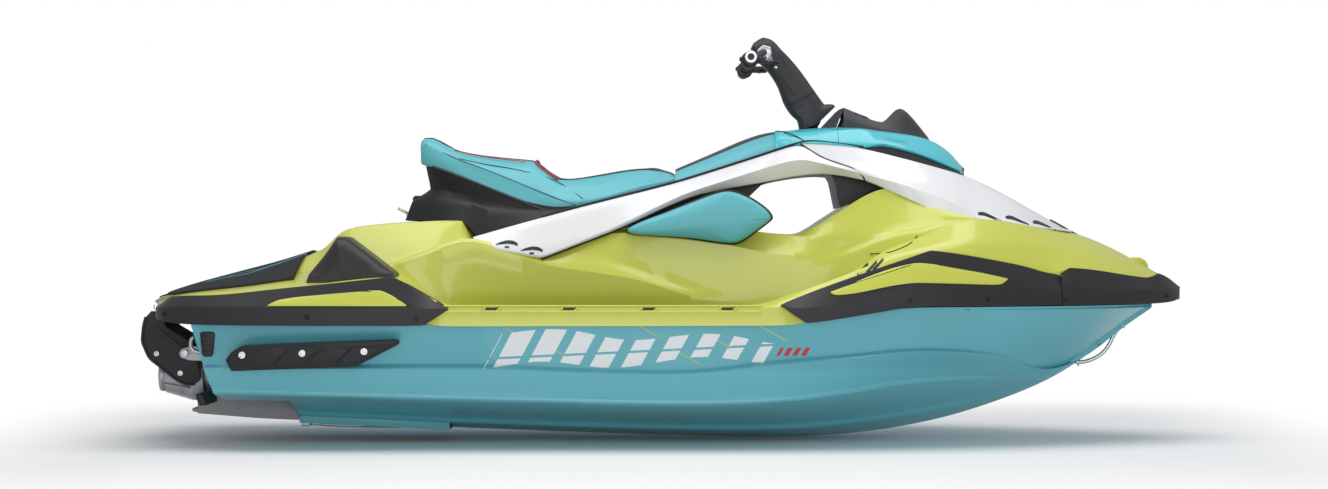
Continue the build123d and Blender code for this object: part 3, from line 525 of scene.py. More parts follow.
deck_lines = [
    rail_low,
    rail_high,
    rail_top,
    # light band along the flank
    deck_line(0.98, (-960, 500, 256), (-770, 492, 274), (-690, 505, 232), (-611, 512, 193), (245, 518, 193),
              (332, 508, 216), (400, 498, 238), (541, 485, 289), (620, 472, 318), (740, 450, 352), (858, 412, 371),
              (990, 352, 374), (1110, 280, 364), (1268, 178, 342), (1400, 100, 313), (1490, 48, 278), (1566, 8, 236)),
    # ridge from the gunwale up to the cowl's corner
    deck_line(0.95, (-960, 490, 257), (-770, 484, 275), (-690, 495, 230), (-611, 500, 192), (245, 505, 192),
              (332, 496, 215), (452, 478, 253), (541, 460, 287), (620, 438, 346), (740, 388, 389), (821, 352, 419),
              (908, 312, 442), (1000, 270, 436), (1104, 206, 418), (1224, 92, 400), (1300, 74, 371), (1415, 42, 319),
              (1490, 20, 282), (1566, 5, 237)),
    # outboard edge of the footwell's floor and of its toe ramp
    deck_line(0.92, (-960, 478, 257), (-770, 472, 274), (-690, 484, 224), (-630, 484, 150), (-580, 480, 96),
              (-560, 480, 92), (250, 480, 92), (330, 472, 100), (400, 462, 122), (470, 450, 168), (541, 436, 228),
              (620, 414, 302), (700, 388, 354), (769, 364, 386), (821, 342, 410), (908, 306, 440), (1000, 265, 435),
              (1104, 202, 417), (1224, 90, 399), (1300, 68, 371), (1415, 38, 320), (1566, 4, 237)),
    # inboard edge of the floor
    deck_line(0.72, (-960, 352, 262), (-805, 336, 284), (-735, 325, 262), (-690, 318, 226), (-630, 300, 150),
              (-580, 280, 96), (-560, 274, 92), (200, 266, 92), (300, 266, 94), (400, 276, 120), (470, 292, 172),
              (541, 306, 240), (620, 318, 310), (700, 322, 360), (769, 322, 393), (821, 318, 416), (908, 302, 441),
              (1000, 262, 435), (1104, 198, 417), (1224, 86, 399), (1300, 60, 373), (1415, 33, 321), (1566, 3, 237)),
    # lower crease of the spine's side
    deck_line(0.66, (-1000, 334, 262), (-900, 328, 284), (-805, 324, 302), (-690, 314, 342), (-573, 306, 372),
              (-450, 302, 342), (-345, 298, 311), (-70, 290, 266), (105, 276, 210), (184, 268, 200), (300, 264, 206),
              (421, 270, 232), (530, 287, 287), (600, 302, 337), (660, 310, 370), (720, 314, 393), (769, 315, 406),
              (828, 312, 428), (908, 298, 441), (1000, 259, 436), (1104, 194, 418), (1224, 82, 400), (1300, 54, 374),
              (1566, 2, 238)),
    # upper edge of the bright band
    deck_line(0.6, (-1000, 318, 272), (-900, 314, 296), (-805, 310, 313), (-690, 302, 352), (-573, 295, 386),
              (-450, 290, 356), (-345, 282, 326), (-225, 270, 343), (-70, 265, 296), (105, 264, 236), (184, 262, 240),
              (300, 261, 262), (421, 264, 294), (530, 280, 332), (600, 296, 363), (660, 305, 386), (720, 309, 401),
              (769, 311, 411), (828, 307, 431), (908, 294, 442), (1000, 256, 437), (1104, 190, 419), (1224, 78, 401),
              (1300, 48, 376), (1566, 2, 238)),
    # shoulder
    deck_line(0.5, (-1000, 290, 296), (-900, 290, 318), (-831, 292, 332), (-735, 274, 384), (-660, 246, 412),
              (-596, 226, 432), (-556, 252, 364), (-450, 252, 348), (-345, 252, 350), (-225, 250, 388),
              (-123, 248, 405), (50, 248, 392), (184, 252, 369), (334, 256, 338), (421, 258, 332), (530, 270, 352),
              (600, 286, 378), (660, 298, 396), (720, 304, 408), (769, 308, 416), (828, 304, 433), (908, 290, 443),
              (1000, 252, 438), (1104, 186, 420), (1224, 74, 402), (1300, 42, 378), (1566, 1, 239)),
    # top edge of the spine, then the foot of the swelling ahead of the leg window
    deck_line(0.38, (-1000, 216, 352), (-960, 222, 408), (-870, 224, 424), (-770, 225, 432), (-640, 220, 438),
              (-596, 218, 437), (-556, 214, 366), (-450, 205, 360), (-340, 198, 374), (-250, 190, 414),
              (50, 188, 420), (260, 186, 408), (330, 190, 399), (380, 206, 394), (421, 232, 391), (470, 252, 392),
              (557, 270, 396), (640, 284, 401), (695, 292, 408), (769, 302, 420),
              (828, 302, 434), (908, 287, 444), (1000, 248, 439), (1104, 182, 421), (1224, 70, 403), (1300, 38, 380),
              (1566, 1, 239)),
    # crease down the swelling's flank
    deck_line(0.3, (-1000, 170, 354), (-960, 172, 410), (-770, 173, 433), (-596, 170, 440), (-556, 166, 398),
              (-450, 160, 396), (-300, 150, 416), (50, 150, 422), (330, 160, 400), (380, 180, 396),
              (437, 216, 403), (470, 231, 428), (514, 235, 456), (570, 235, 492), (624, 231, 523), (661, 229, 532),
              (708, 236, 512), (769, 256, 483), (836, 296, 452), (908, 286, 445), (1000, 246, 440), (1104, 180, 422),
              (1224, 69, 404), (1300, 35, 381), (1566, 1, 239)),
    # swelling
    deck_line(0.2, (-1000, 120, 356), (-960, 120, 413), (-770, 120, 434), (-591, 120, 441), (0, 120, 424),
              (330, 130, 400), (380, 150, 396), (437, 218, 408), (470, 232, 436), (514, 236, 464), (570, 236, 500),
              (624, 232, 530), (660, 228, 536), (708, 222, 540), (785, 210, 536), (850, 190, 524), (912, 170, 504),
              (980, 140, 478), (1060, 100, 450), (1121, 76, 432), (1185, 52, 414), (1224, 40, 405), (1300, 22, 382),
              (1566, 1, 239)),
    deck_line(0.0, (-1000, 0, 372), (-965, 0, 412), (-935, 0, 414), (-899, 0, 424), (-773, 0, 434), (-591, 0, 440),
              (0, 0, 426), (380, 0, 398), (440, 0, 404), (514, 0, 440), (624, 0, 500), (708, 0, 530), (785, 0, 532),
              (912, 0, 504), (1060, 0, 452), (1224, 0, 406), (1245, 0, 394), (1415, 0, 325), (1451, 0, 316),
              (1491, 0, 282), (1566, 0, 240)),
]
deck = skin("deck_moulding", deck_lines, deck_lime, mirror=True, thick=5, facing=(0, 0, 1), slot="deck_gelcoat",
            replaces=("pedestal", "bow_deck", "rear_deck", "gunwale_port", "gunwale_stbd", "footwell_port",
                      "footwell_stbd"),
            notches=[((-1600, -600, 100), (-1530, 600, 199))], cross={16: 0.7, 17: 0.7},
            sharp={0: 1, 1: 0.9, 2: 0.9, 3: 0.8, 4: 0.95, 5: 0.6, 6: 0.6, 7: 0.95, 8: 0.95, 9: 0.9, 10: 0.9, 11: 0.85,
                   12: 0.6})

# ------------------------------------------------------------------ gunwales
# Each gunwale carries two moulded beads with a drain groove between them, and
# short drain pockets along the groove.


def rod(name, points, radius, material, body="craft", slot=None, sides=12, closed=False):
    """A bent rod through (x, y, z) points in millimetres."""
    curve = bpy.data.curves.new(name, "CURVE")
    curve.dimensions = "3D"
    curve.bevel_depth = radius / 1000
    curve.bevel_resolution = sides // 4
    curve.use_fill_caps = True
    line = curve.splines.new("NURBS")
    line.points.add(len(points) - 1)
    for knot, point in zip(line.points, points):
        knot.co = (*(Vector(point) / 1000), 1)
    line.order_u = 3
    line.use_endpoint_u = not closed
    line.use_cyclic_u = closed
    line.resolution_u = 6
    holder = bpy.data.objects.new(name, curve)
    bpy.context.scene.collection.objects.link(holder)
    bpy.context.view_layer.update()
    mesh = bpy.data.meshes.new_from_object(holder.evaluated_get(bpy.context.evaluated_depsgraph_get()))
    bpy.data.objects.remove(holder)
    mesh.name = name
    mesh.materials.clear()
    mesh.materials.append(material)
    mesh.shade_smooth()
    return put(name, mesh, body, slot)


bead_x = (-622, -600, -400, -200, 0, 150, 262, 275)
for word, side in sides_of_craft:
    for i, (inward, z, radius) in enumerate(((8, 193, 3), (5, 177, 4))):
        bead = [(x, side * (y - inward), z) for x, y, _ in run(bead_x, *rail)]
        rod(f"gunwale_bead_{word}_{i}", bead, radius, deck_lime, slot="deck_gelcoat", sides=8)
    # painted shade: each drain pocket is a black plate for the shade in its hollow
    for i, x in enumerate((-487, -268, -43, 180)):
        rim = run((x,), *rail)[0][1] - 5.4
        pocket = [(x - 18, 181.5), (x + 12, 181.5), (x + 20, 188.5), (x - 16, 188.5)]
        plate(f"gunwale_pocket_{word}_{i}", upright(side * rim, pocket), (0, -side * 3, 0),
              black_and_painted_shade.material, edge=0.6, slot="deck_gelcoat")
        for j, end in enumerate((-24, 22)):
            rib = [(x + end - 6, side * (rim + 1), 179), (x + end + 6, side * (rim + 1), 191)]
            rod(f"gunwale_rib_{word}_{i}_{j}", rib, 2.4, deck_lime, slot="deck_gelcoat", sides=8)

# ------------------------------------------------------------------ rear mat
# Closed-cell foam mat glued on the boarding platform: black ribbed foam routed
# with coloured lines, inside a border of bare gelcoat.


def mat_routing(finish, color):
    """Cyan routed lines: a nested pair of slanted frames, the same either side of the centreline."""
    x, y = finish.axis("X"), abs(finish.axis("Y"))
    for offset in (0.0, 0.034):
        across = abs(y - (0.235 + offset) + 0.5 * abs(x + 1.19 + offset))
        line = (0.0035 - across).step(-0.0008, 0.0008) * (x + 1.36).step(0, 0.002) * (-1.06 - x).step(0, 0.002)
        color = finish.mix(line, color, (0.10, 0.55, 0.62))
    return color


def foam(name, graphic=None, pitch=900):
    """Black brushed foam with fine ribs along the craft."""
    finish = Finish(name, (0.02, 0.02, 0.022), 0.85)
    finish.surface["Specular IOR Level"].default_value = 0.3
    tone = finish.mix(finish.noise(60.0, 4.0), (0.014, 0.014, 0.016), (0.035, 0.035, 0.038))
    finish.paint(graphic(finish, tone) if graphic else tone)
    ribs = (finish.axis("Y") * pitch).wave()
    return finish.bump(ribs + 0.4 * finish.noise(900.0), 0.0008, 0.5)


mat_x = (-1500, -1470, -1400, -1320, -1230, -1150, -1090, -1064)
mat_rise = run(mat_x, *[(x, 0, z) for x, _, z in platform_rise], (-1040, 0, 350))
mat_lines = [on_platform(share, mat_rise, run(mat_x, *platform_edge), lift) for share, lift in
             ((0.865, 0), (0.86, 7), (0.83, 9), (0.66, 10), (0.45, 10), (0.2, 10), (0.0, 10))]
skin("rear_mat_foam", mat_lines, foam("rear_mat_black", mat_routing), mirror=True, level=2, thick=6,
     facing=(0, 0, 1), sharp={1: 0.7}, slot="black_rubber", replaces=("rear_mat",))

footwell_foam = foam("footwell_foam")
pair("footwell_mat", [[(x, y, 95.5) for x in (-545, -300, 0, 280)] for y in (470, 282)], footwell_foam, level=0,
     thick=3, facing=(0, 0, 1), slot="black_rubber")

# ------------------------------------------------------------------ bumpers
# Moulded rubber bumpers screwed over the bond line: one along each quarter and
# round the stern, one along each bow flank with a lime insert, and a nose cap.


def grained(name, color, roughness=0.5, grain=900.0, depth=0.0006):
    """Grained rubber or plastic with a faint bloom and rubbed patches."""
    finish = Finish(name, color, roughness)
    finish.surface["Specular IOR Level"].default_value = 0.35
    speck = finish.noise(grain, 2.0)
    lighter = [min(1, c * 1.3 + 0.003) for c in color]
    finish.paint(finish.mix(0.5 * speck + 0.5 * finish.noise(11.0, 4.0), color, lighter),
                 roughness - 0.1 + 0.2 * finish.noise(17.0, 3.0))
    return finish.bump(speck, depth, 0.35)


charcoal = grained("bumper_charcoal", (0.022, 0.021, 0.023), 0.4)


def bumper_lines(path, straight=False):
    """The bumper's five lines, from (x, y, low, crease, top, depth) stations in millimetres."""
    lines = [[], [], [], [], []]
    for i, (x, y, low, crease, top, depth) in enumerate(path):
        before, after = path[max(i - 1, 0)], path[min(i + 1, len(path) - 1)]
        along = Vector((after[0] - before[0], after[1] - before[1])).normalized()
        inward = Vector((0, -1)) if straight else Vector((-along.y, along.x))
        if inward.y > 0 or (abs(inward.y) < 1e-6 and inward.x < 0):
            inward = -inward
        slope = min(32, depth) * min(1, (top - crease) / 20)
        for line, (shift, z) in zip(lines, ((depth, low + 1), (0, low), (0, crease), (slope, top),
                                            (max(depth, slope), top - 2))):
            line.append((x + inward.x * shift, max(y + inward.y * shift, 0.2), z))
    return lines


quarter = ((-611, 563, 182, 186, 190, 20), (-640, 561, 163, 186, 207, 34), (-660, 560, 150, 186, 217, 46),
           (-684, 559, 137, 186, 231, 50), (-736, 557, 136, 187, 261, 52), (-775, 556, 136, 188, 277, 54),
           (-930, 552, 136, 189, 259, 54), (-1096, 540, 136, 190, 243, 54), (-1271, 518, 137, 190, 222, 54),
           (-1370, 488, 138, 190, 222, 54), (-1425, 458, 143, 188, 219, 54), (-1458, 424, 149, 186, 213, 54),
           (-1473, 375, 155, 183, 208, 54), (-1488, 290, 159, 182, 204, 54), (-1505, 200, 161, 182, 202, 54),
           (-1522, 105, 162, 182, 200, 54), (-1536, 4, 162, 182, 200, 54))
bow_flank = ((331, 557, 194, 195, 197, 20), (362, 555, 172, 188, 209, 40), (407, 550, 143, 187, 226, 46),
             (468, 541, 150, 196, 249, 50), (600, 521, 171, 222, 295, 50), (709, 501, 189, 246, 330, 50),
             (740, 495, 189, 247, 341, 50), (773, 488, 190, 247, 351, 50), (849, 470, 190, 245, 343, 50),
             (937, 441, 190, 240, 328, 50), (1060, 390, 190, 234, 307, 50), (1121, 363, 190, 231, 286, 50),
             (1158, 345, 190, 229, 283, 50), (1178, 333, 192, 226, 276, 42))
nose = ((1159, 346.5, 189, 229, 285, 50), (1163, 344.5, 189, 229, 286, 50), (1185, 334, 190, 229, 300, 50),
        (1260, 295, 190, 230, 295, 48), (1358, 228, 190, 231, 279, 44), (1420, 180, 190, 232, 271, 40),
        (1453, 152, 190, 232, 267, 40), (1486, 122, 191, 232, 282, 60), (1520, 86, 193, 232, 270, 86),
        (1548, 48, 198, 232, 251, 48), (1564, 12, 206, 231, 239, 12))
creases = {0: 1, 1: 0.9, 2: 0.95, 3: 0.85, 4: 1}
pair("quarter_bumper", bumper_lines(quarter), charcoal, loop=True, sharp=creases, slot="bumper_rubber",
     replaces=("rear_bumper",), cross={3: 0.6, 5: 0.7})
pair("bow_flank_bumper", bumper_lines(bow_flank), charcoal, loop=True, sharp=creases, slot="bumper_rubber",
     replaces=("front_bumper",), cross={2: 0.5, 5: 0.4, 7: 0.6})
nose_cap = pair("nose_bumper", bumper_lines(nose, True), charcoal, loop=True, sharp=creases, slot="bumper_rubber",
                cross={1: 1, 2: 0.5, 7: 0.5})
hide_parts("bow_bumper")


def on_bumper(path, x, z, proud):
    """The point on a bumper's sloping face at x and z, standing proud of it."""
    values = [np.interp(x, *zip(*sorted((p[0], p[i]) for p in path))) for i in range(1, 5)]
    y, _, crease, top = values
    share = max(0, (z - crease) / max(top - crease, 1))
    return (x, y - 32 * share + proud * 0.85, z + proud * 0.5)


def insert_lines(path, lower, upper, stations):
    """Lines round a lime insert set into a bumper's face."""
    low = [p[2] for p in run(stations, *[(x, 0, z) for x, z in lower])]
    high = [p[2] for p in run(stations, *[(x, 0, z) for x, z in upper])]
    lines = []
    for share, proud in ((0, -3), (0, 2.5), (0.12, 4), (0.88, 4), (1, 2.5), (1, -3)):
        lines.append([on_bumper(path, x, a + share * (b - a), proud) for x, a, b in zip(stations, low, high)])
    return lines


pair("bow_insert", insert_lines(bow_flank, ((474, 228), (492, 221), (708, 257), (847, 254), (968, 250), (990, 265)),
                                ((474, 232), (729, 313), (967, 273), (990, 268)),
                                (474, 480, 492, 560, 640, 708, 729, 750, 847, 930, 967, 980, 990)), deck_lime,
     loop=True, slot="deck_gelcoat", sharp={1: 0.7, 4: 0.7}, cross={6: 0.8})
pair("quarter_insert", insert_lines(quarter, ((-1123, 192), (-729, 192)),
                                    ((-1123, 194), (-1092, 211), (-803, 236), (-729, 195)),
                                    (-1123, -1108, -1092, -1000, -900, -803, -766, -729)), deck_lime, loop=True,
     slot="deck_gelcoat", sharp={1: 0.7, 4: 0.7}, cross={2: 0.7, 5: 0.8})

for word, side in sides_of_craft:
    # shadow gap over each insert, and the slanting joint between the flank's bumper and the nose cap
    for name, path, points in (
            ("bow_insert_gap", bow_flank, ((474, 234), (560, 262), (640, 286), (729, 316), (850, 296),
                                           (967, 276), (990, 269))),
            ("quarter_insert_gap", quarter, ((-1123, 196), (-1092, 214), (-950, 226), (-803, 239), (-729, 198)))):
        rod(f"{name}_{word}", to_side(side, [on_bumper(path, x, z, 1.5) for x, z in points]), 2.4,
            black_and_painted_shade.material, slot="bumper_rubber", sides=8)
    joint = [on_bumper(nose if x > 1158 else bow_flank, x, z, 0.4) for x, z in
             ((1143, 272), (1152, 262), (1170, 250), (1190, 236), (1213, 218))]
    rod(f"nose_joint_{word}", to_side(side, joint), 1.3, black_and_painted_shade.material, slot="bumper_rubber", sides=8)

# ------------------------------------------------------------------ chocks
# Black moulded foot chocks screwed down at the back of the footwells, with a
# hollow in the sloping face.

black = grained("black_plastic_grain", (0.01, 0.01, 0.011), 0.4)
chock_y = (478, 468, 440, 400, 350, 318)
chock_top = (52, 14, 2, 0, 0, 0)
chock_lines = [
    [(-1029 + 0.1 * t, y, 250) for y, t in zip(chock_y, chock_top)],
    [(-1020 + 0.2 * t, y, 282 - 0.1 * t) for y, t in zip(chock_y, chock_top)],
    [(-975 + 0.6 * t, y, 340 - t) for y, t in zip(chock_y, chock_top)],
    [(-941 + 0.5 * t, y, 391 - 2 * t) for y, t in zip(chock_y, chock_top)],
    [(-909 - 0.5 * t, y, 389 - 2 * t) for y, t in zip(chock_y, chock_top)],
    [(-771 - 0.2 * t, y, 284) for y, t in zip(chock_y, chock_top)],
    [(-768, y, 262) for y in chock_y],
]
pair("foot_chock", chock_lines, charcoal, loop=True, slot="bumper_rubber", replaces=("chock",),
     sharp={0: 1, 1: 0.6, 2: 0.5, 3: 0.7, 4: 0.7, 5: 0.8, 6: 1}, cross={2: 0.3})

# ------------------------------------------------------------------ sponsons
# Black moulded stabilising fins, each bolted to the hull's flank with three
# stainless bolts and relieved with slanting steps.

steel = Finish("stainless", (0.6, 0.6, 0.61), 0.25, metallic=1.0)
steel.paint(steel.mix(steel.noise(90.0, 3.0), (0.48, 0.48, 0.5), (0.7, 0.7, 0.7)),
            0.2 + 0.15 * steel.noise(40.0, 3.0))
stainless = steel.bump(steel.noise(260.0), 0.0002, 0.2)


def turned(name, place, axis, outline, material, body="craft", sides=24, slot=None):
    """A turned piece: an outline of (radius, distance) points spun about an axis through a place."""
    verts, faces = [], []
    toward = Vector(axis).normalized()
    across = toward.orthogonal().normalized()
    other = toward.cross(across)
    for r, h in outline:
        for i in range(sides):
            turn = 2 * math.pi * i / sides
            spoke = across * math.cos(turn) + other * math.sin(turn)
            verts.append((Vector(place) + spoke * r + toward * h) / 1000)
    for j in range(len(outline) - 1):
        for i in range(sides):
            k = (i + 1) % sides
            faces.append((j * sides + i, j * sides + k, (j + 1) * sides + k, (j + 1) * sides + i))
    mesh = bpy.data.meshes.new(name)
    mesh.from_pydata(verts, [], faces)
    form = bmesh.new()
    form.from_mesh(mesh)
    bmesh.ops.remove_doubles(form, verts=form.verts, dist=1e-6)
    bmesh.ops.recalc_face_normals(form, faces=form.faces)
    form.to_mesh(mesh)
    form.free()
    mesh.materials.append(material)
    mesh.shade_smooth()
    mesh.set_sharp_from_angle(angle=math.radians(40))
    return put(name, mesh, body, slot)


def disc(name, place, axis, radius, height, material, body="craft", dish=0.0, sides=24, slot=None):
    """A low round piece with a rounded rim, dished in the middle."""
    outline = ((0, height - dish), (0.45 * radius, height - dish), (0.55 * radius, height), (0.85 * radius, height),
               (radius, height - 0.18 * radius), (radius, 0))
    return turned(name, place, axis, outline, material, body, sides, slot)


for word, side in sides_of_craft:
    face_y = 549
    fin = [(-1242, 40), (-1225, 62), (-1193, 81), (-760, 98), (-751, 92), (-753, 84), (-873, 21), (-1225, 8)]
    plate(f"sponson_fin_{word}", upright(side * face_y, fin), (0, -side * 52, 0), black, edge=7,
          slot="black_plastic", replaces=(f"sponson_{word}",))
    for i, x in enumerate((-1160, -985, -1075, -900)):
        rib = [(x - 26, 26), (x + 52, 26 if i < 3 else 40), (x + 92, 70), (x + 64, 76), (x + 18, 76)]
        plate(f"sponson_step_{word}_{i}", upright(side * (face_y + 0.2), rib), (0, side * 3, 0), black, edge=1.5,
              slot="black_plastic")
    for i, x in enumerate((-1193, -1023, -848)):
        disc(f"sponson_bolt_{word}_{i}", (x, side * (face_y + 2), 54 + 0.03 * (x + 1193)), (0, side, 0), 11, 7,
             stainless, dish=3, slot="stainless")

# ------------------------------------------------------------------ side frames
# White painted mouldings: an arch each side from the quarter up to the seat's
# front, and a cowl each side from there down over the foredeck, clipped at a seam.

frame_white = gelcoat("frame_white", (0.83, 0.83, 0.85), 0.24)
arch_high = ((-560, 274, 389), (-450, 261, 421), (-359, 250, 446), (-312, 244, 459), (-246, 236, 477),
             (-121, 219, 509), (27, 202, 546), (120, 193, 575), (198, 190, 600), (285, 188, 628), (345, 187, 648),
             (404, 187, 667), (440, 199, 642), (470, 208, 623), (520, 215, 606), (561, 222, 592), (580, 224, 577))
arch_crease = ((-549, 299, 370), (-450, 303, 351), (-359, 301, 334), (-300, 291, 356), (-246, 279, 378),
               (-121, 260, 425), (40, 245, 510), (120, 240, 536), (198, 237, 561), (289, 233, 590), (345, 230, 607),
               (404, 227, 620), (440, 226, 613), (480, 226, 603), (523, 226, 592), (563, 226, 582), (581, 226, 576))
arch_low = ((-546, 301, 365), (-450, 301, 344), (-359, 298, 327), (-300, 288, 350), (-246, 275, 371),
            (-121, 255, 418), (50, 234, 501), (120, 222, 520), (198, 212, 537), (289, 203, 551), (345, 198, 564),
            (400, 194, 573), (440, 192, 577), (475, 191, 579), (520, 194, 574), (556, 202, 567), (590, 214, 559))


def inboard(line, shift, drop):
    return [(x, y - shift, z + drop) for x, y, z in line]


arches = pair("white_arch", [inboard(arch_high, 20, -8), inboard(arch_high, 3, -1), arch_high, arch_crease, arch_low,
                             inboard(arch_low, 4, -2), inboard(arch_low, 20, 6)], frame_white, loop=True,
              slot="white_panel", replaces=("arch",), sharp={1: 0.5, 2: 0.8, 3: 0.85, 4: 0.8, 5: 0.6}, cross={2: 0.4})

cowl_middle = ((410, 160, 664), (446, 160, 667), (520, 165, 660), (592, 165, 649), (690, 155, 626), (787, 130, 603),
               (873, 66, 590), (915, 1.2, 573), (959, 1, 557), (1029, 1, 522), (1104, 1, 478), (1170, 1, 442),
               (1226, 1, 411))
cowl_high = ((406, 187, 667), (444, 188, 671), (520, 190, 663), (592, 190, 653), (690, 181, 629), (787, 162, 605),
             (873, 128, 581), (920, 96, 566), (959, 84, 550), (1029, 66, 514), (1104, 48, 471), (1170, 34, 436),
             (1225, 22, 408))
cowl_flank = ((468, 208, 625), (502, 211, 616), (580, 216, 600), (650, 219, 583), (730, 219, 560), (800, 214, 538),
              (868, 198, 518), (912, 186, 504), (960, 168, 489), (1030, 138, 474), (1104, 104, 448), (1168, 72, 426),
              (1224, 42, 408))
cowl_crease = ((579, 227, 577), (612, 236, 568), (660, 246, 556), (704, 254, 544), (760, 262, 524), (820, 272, 501),
               (865, 279, 482), (912, 290, 443), (960, 271, 442), (1030, 240, 431), (1104, 200, 421), (1170, 144, 414),
               (1224, 90, 408))
cowl_low = ((596, 218, 557), (633, 228, 542), (672, 239, 524), (708, 250, 507), (760, 262, 483), (800, 272, 458),
            (824, 282, 436), (912, 290, 440), (960, 271, 437), (1030, 240, 427), (1104, 200, 417), (1170, 144, 411),
            (1224, 90, 405))
cowls = pair("white_cowl", [cowl_middle, cowl_high, cowl_flank, cowl_crease, cowl_low, inboard(cowl_low, 6, -2),
                            inboard(cowl_low, 26, 4)], frame_white, thick=3, facing=(0, 0, 1), slot="white_panel",
             replaces=("cowl",), sharp={1: 0.6, 2: 0.15, 3: 0.85, 4: 0.9, 5: 0.6}, cross={0: 1, 6: 0.5, 12: 1})


def side_of(piece):
    """A finder for points on a piece's skin: at x and z in millimetres, from one side, standing proud of it."""
    tree = BVHTree.FromPolygons([v.co for v in piece.data.vertices], [p.vertices[:] for p in piece.data.polygons])

    def find(x, z, side, proud=0.0):
        place, normal = tree.ray_cast(Vector((x, side * 900, z)) / 1000, Vector((0, -side, 0)))[:2]
        if place is None:
            place, normal = tree.find_nearest(Vector((x, side * 300, z)) / 1000)[:2]
        return place * 1000 + normal * (proud if normal.y * side > 0 else -proud)

    return find


def slit(name, points, find, side, material, proud=1.0, slot="black_plastic"):
    """A dark plate on a skin along (x, z, height) points: painted shade for a slit in it."""
    upper = [find(x, z + height / 2, side, proud) for x, z, height in points]
    lower = [find(x, z - height / 2, side, proud) for x, z, height in reversed(points)]
    return plate(name, [*upper, *lower], (0, -side * 5, 0), material, edge=0.5, slot=slot)


for word, side in sides_of_craft:
    # louvres: brow-shaped slits, each with a drain hole under it at the back, tailing away at the front
    find = side_of(arches[side])
    for i, (x, z) in enumerate(((-458, 374), (-385, 356))):
        # painted shadow: a black plate for the shade under the louvre's brow, a charcoal one for its hole
        slit(f"arch_louvre_{word}_{i}", [(x - 34, z - 7.5, 2), (x - 18, z - 3, 7), (x, z, 10), (x + 18, z - 2, 10),
                                         (x + 30, z - 8, 7)], find, side, black, 2)
        slit(f"arch_louvre_hole_{word}_{i}", [(x - 8, z - 15, 5), (x + 5, z - 15, 5)], find, side, charcoal, 2)
    find = side_of(cowls[side])
    for i, (x, z) in enumerate(((946, 454), (1033, 444), (1121, 430))):
        # painted shadow: a black plate for the shade under each louvre's brow
        slit(f"cowl_louvre_{word}_{i}", [(x - 24, z + 2, 7), (x - 11, z + 3, 10), (x + 1, z, 10),
                                         (x + 25, z - 10.5, 7), (x + 46, z - 19, 2)], find, side, black, 2)
    # dark gasket where the arch meets the cowl, and black rods of painted shadow by the seat, the hood and under the
    # arch
    rod(f"frame_seam_{word}", to_side(side, (*arch_high[11:], (592, 222, 562)), 1), 1.8, black_and_painted_shade.material,
        slot="black_plastic", sides=8)
    # painted shadow: the dark line where the arch meets the seat and the cowl meets the hood
    rod(f"frame_painted_shadow_{word}", to_side(side, (*arch_high[2:12], *cowl_high[1:4]), -2, 4), 3.4, black,
        slot="black_plastic", sides=8)
    rod(f"arch_shadow_gap_{word}", to_side(side, arch_low[2:8], -3, -3), 3.4, black, slot="black_plastic",
        sides=8)
rod("cowl_tip_gasket", [(1172, 0, 441), (1200, 0, 426), (1228, 0, 410), (1262, 0, 391)], 4, black,
    slot="black_plastic")

# ------------------------------------------------------------------ seat base
# Black moulded base under the cushion's raised tail, waisted at the back, with a
# stainless tow cleat, and the black frame that the whole seat stands on.

base_low = ((-779, 0, 440), (-776, 112, 440), (-700, 176, 438), (-640, 200, 439), (-591, 214, 439), (-562, 226, 402),
            (-545, 236, 385), (-480, 240, 402), (-400, 236, 427), (-330, 230, 447), (-250, 220, 470))
base_ledge = ((-758, 0, 498), (-756, 104, 497), (-690, 152, 500), (-640, 172, 498), (-591, 188, 492),
              (-562, 196, 484), (-535, 204, 474), (-480, 212, 466), (-400, 214, 462), (-330, 212, 464),
              (-250, 208, 477))
base_hollow = ((-702, 0, 534), (-700, 96, 532), (-668, 132, 534), (-640, 146, 524), (-591, 160, 516),
               (-562, 168, 506), (-535, 176, 496), (-480, 190, 486), (-400, 200, 474), (-330, 206, 468),
               (-250, 204, 480))
base_high = ((-716, 0, 603), (-714, 112, 603), (-690, 140, 597), (-650, 158, 586), (-600, 172, 570), (-547, 180, 555),
             (-500, 188, 536), (-442, 196, 513), (-390, 202, 496), (-330, 206, 476), (-250, 204, 484))
base_crown = [(x + 2, 0, z - 2) for x, y, z in base_high]
skin("seat_base_moulding", [base_low, base_ledge, base_hollow, base_high, base_crown], black, mirror=True, thick=4,
     facing=(-1, 0, 0), sharp={0: 1, 1: 0.7, 2: 0.55, 3: 0.8}, cross={1: 0.8}, slot="black_plastic",
     replaces=("seat_base",))
rod("tow_cleat", [(-770, -12, 446), (-778, -12, 462), (-802, -10, 474), (-806, 0, 476), (-802, 10, 474),
                  (-778, 12, 462), (-770, 12, 446)], 4, stainless, slot="stainless")
rod("boarding_handle", [(-712, -92, 502), (-736, -88, 503), (-750, -60, 504), (-750, 60, 504), (-736, 88, 503),
                        (-712, 92, 502)], 11, black, slot="black_plastic")

# ------------------------------------------------------------------ seat
# Marine vinyl pulled over moulded foam: a long cushion with a raised tail that
# lifts off, cyan sides, black top and red piping, sewn along its seams.


def vinyl(name, color):
    """Marine vinyl: fine embossed grain, soft sheen and faint creases, their hollows painted darker as shade."""
    finish = Finish(name, color, 0.42)
    grain = finish.node("ShaderNodeTexVoronoi", {"Vector": finish.place(), "Scale": 560.0})
    wrinkle = finish.noise(26.0, 4.0, (1, 1, 1.6))
    # painted shade: the wrinkles' low parts are darker
    finish.paint(finish.mix(wrinkle, [c * 0.93 for c in color], color), 0.36 + 0.14 * finish.noise(35.0, 3.0))
    return finish.bump(0.3 * grain + 1.6 * wrinkle, 0.0012, 0.35)


vinyl_cyan = vinyl("vinyl_cyan", (0.125, 0.5, 0.565))
vinyl_black = vinyl("vinyl_black", (0.03, 0.03, 0.033))
seat_x = (-733, -728, -722, -708, -690, -665, -628, -585, -540, -490, -442, -412, -383, -350, -316, -283, -250, -200,
          -140, -95, -49, -18, 6, 22, 30, 33)


def seat_line(*points):
    return run(seat_x, *points)


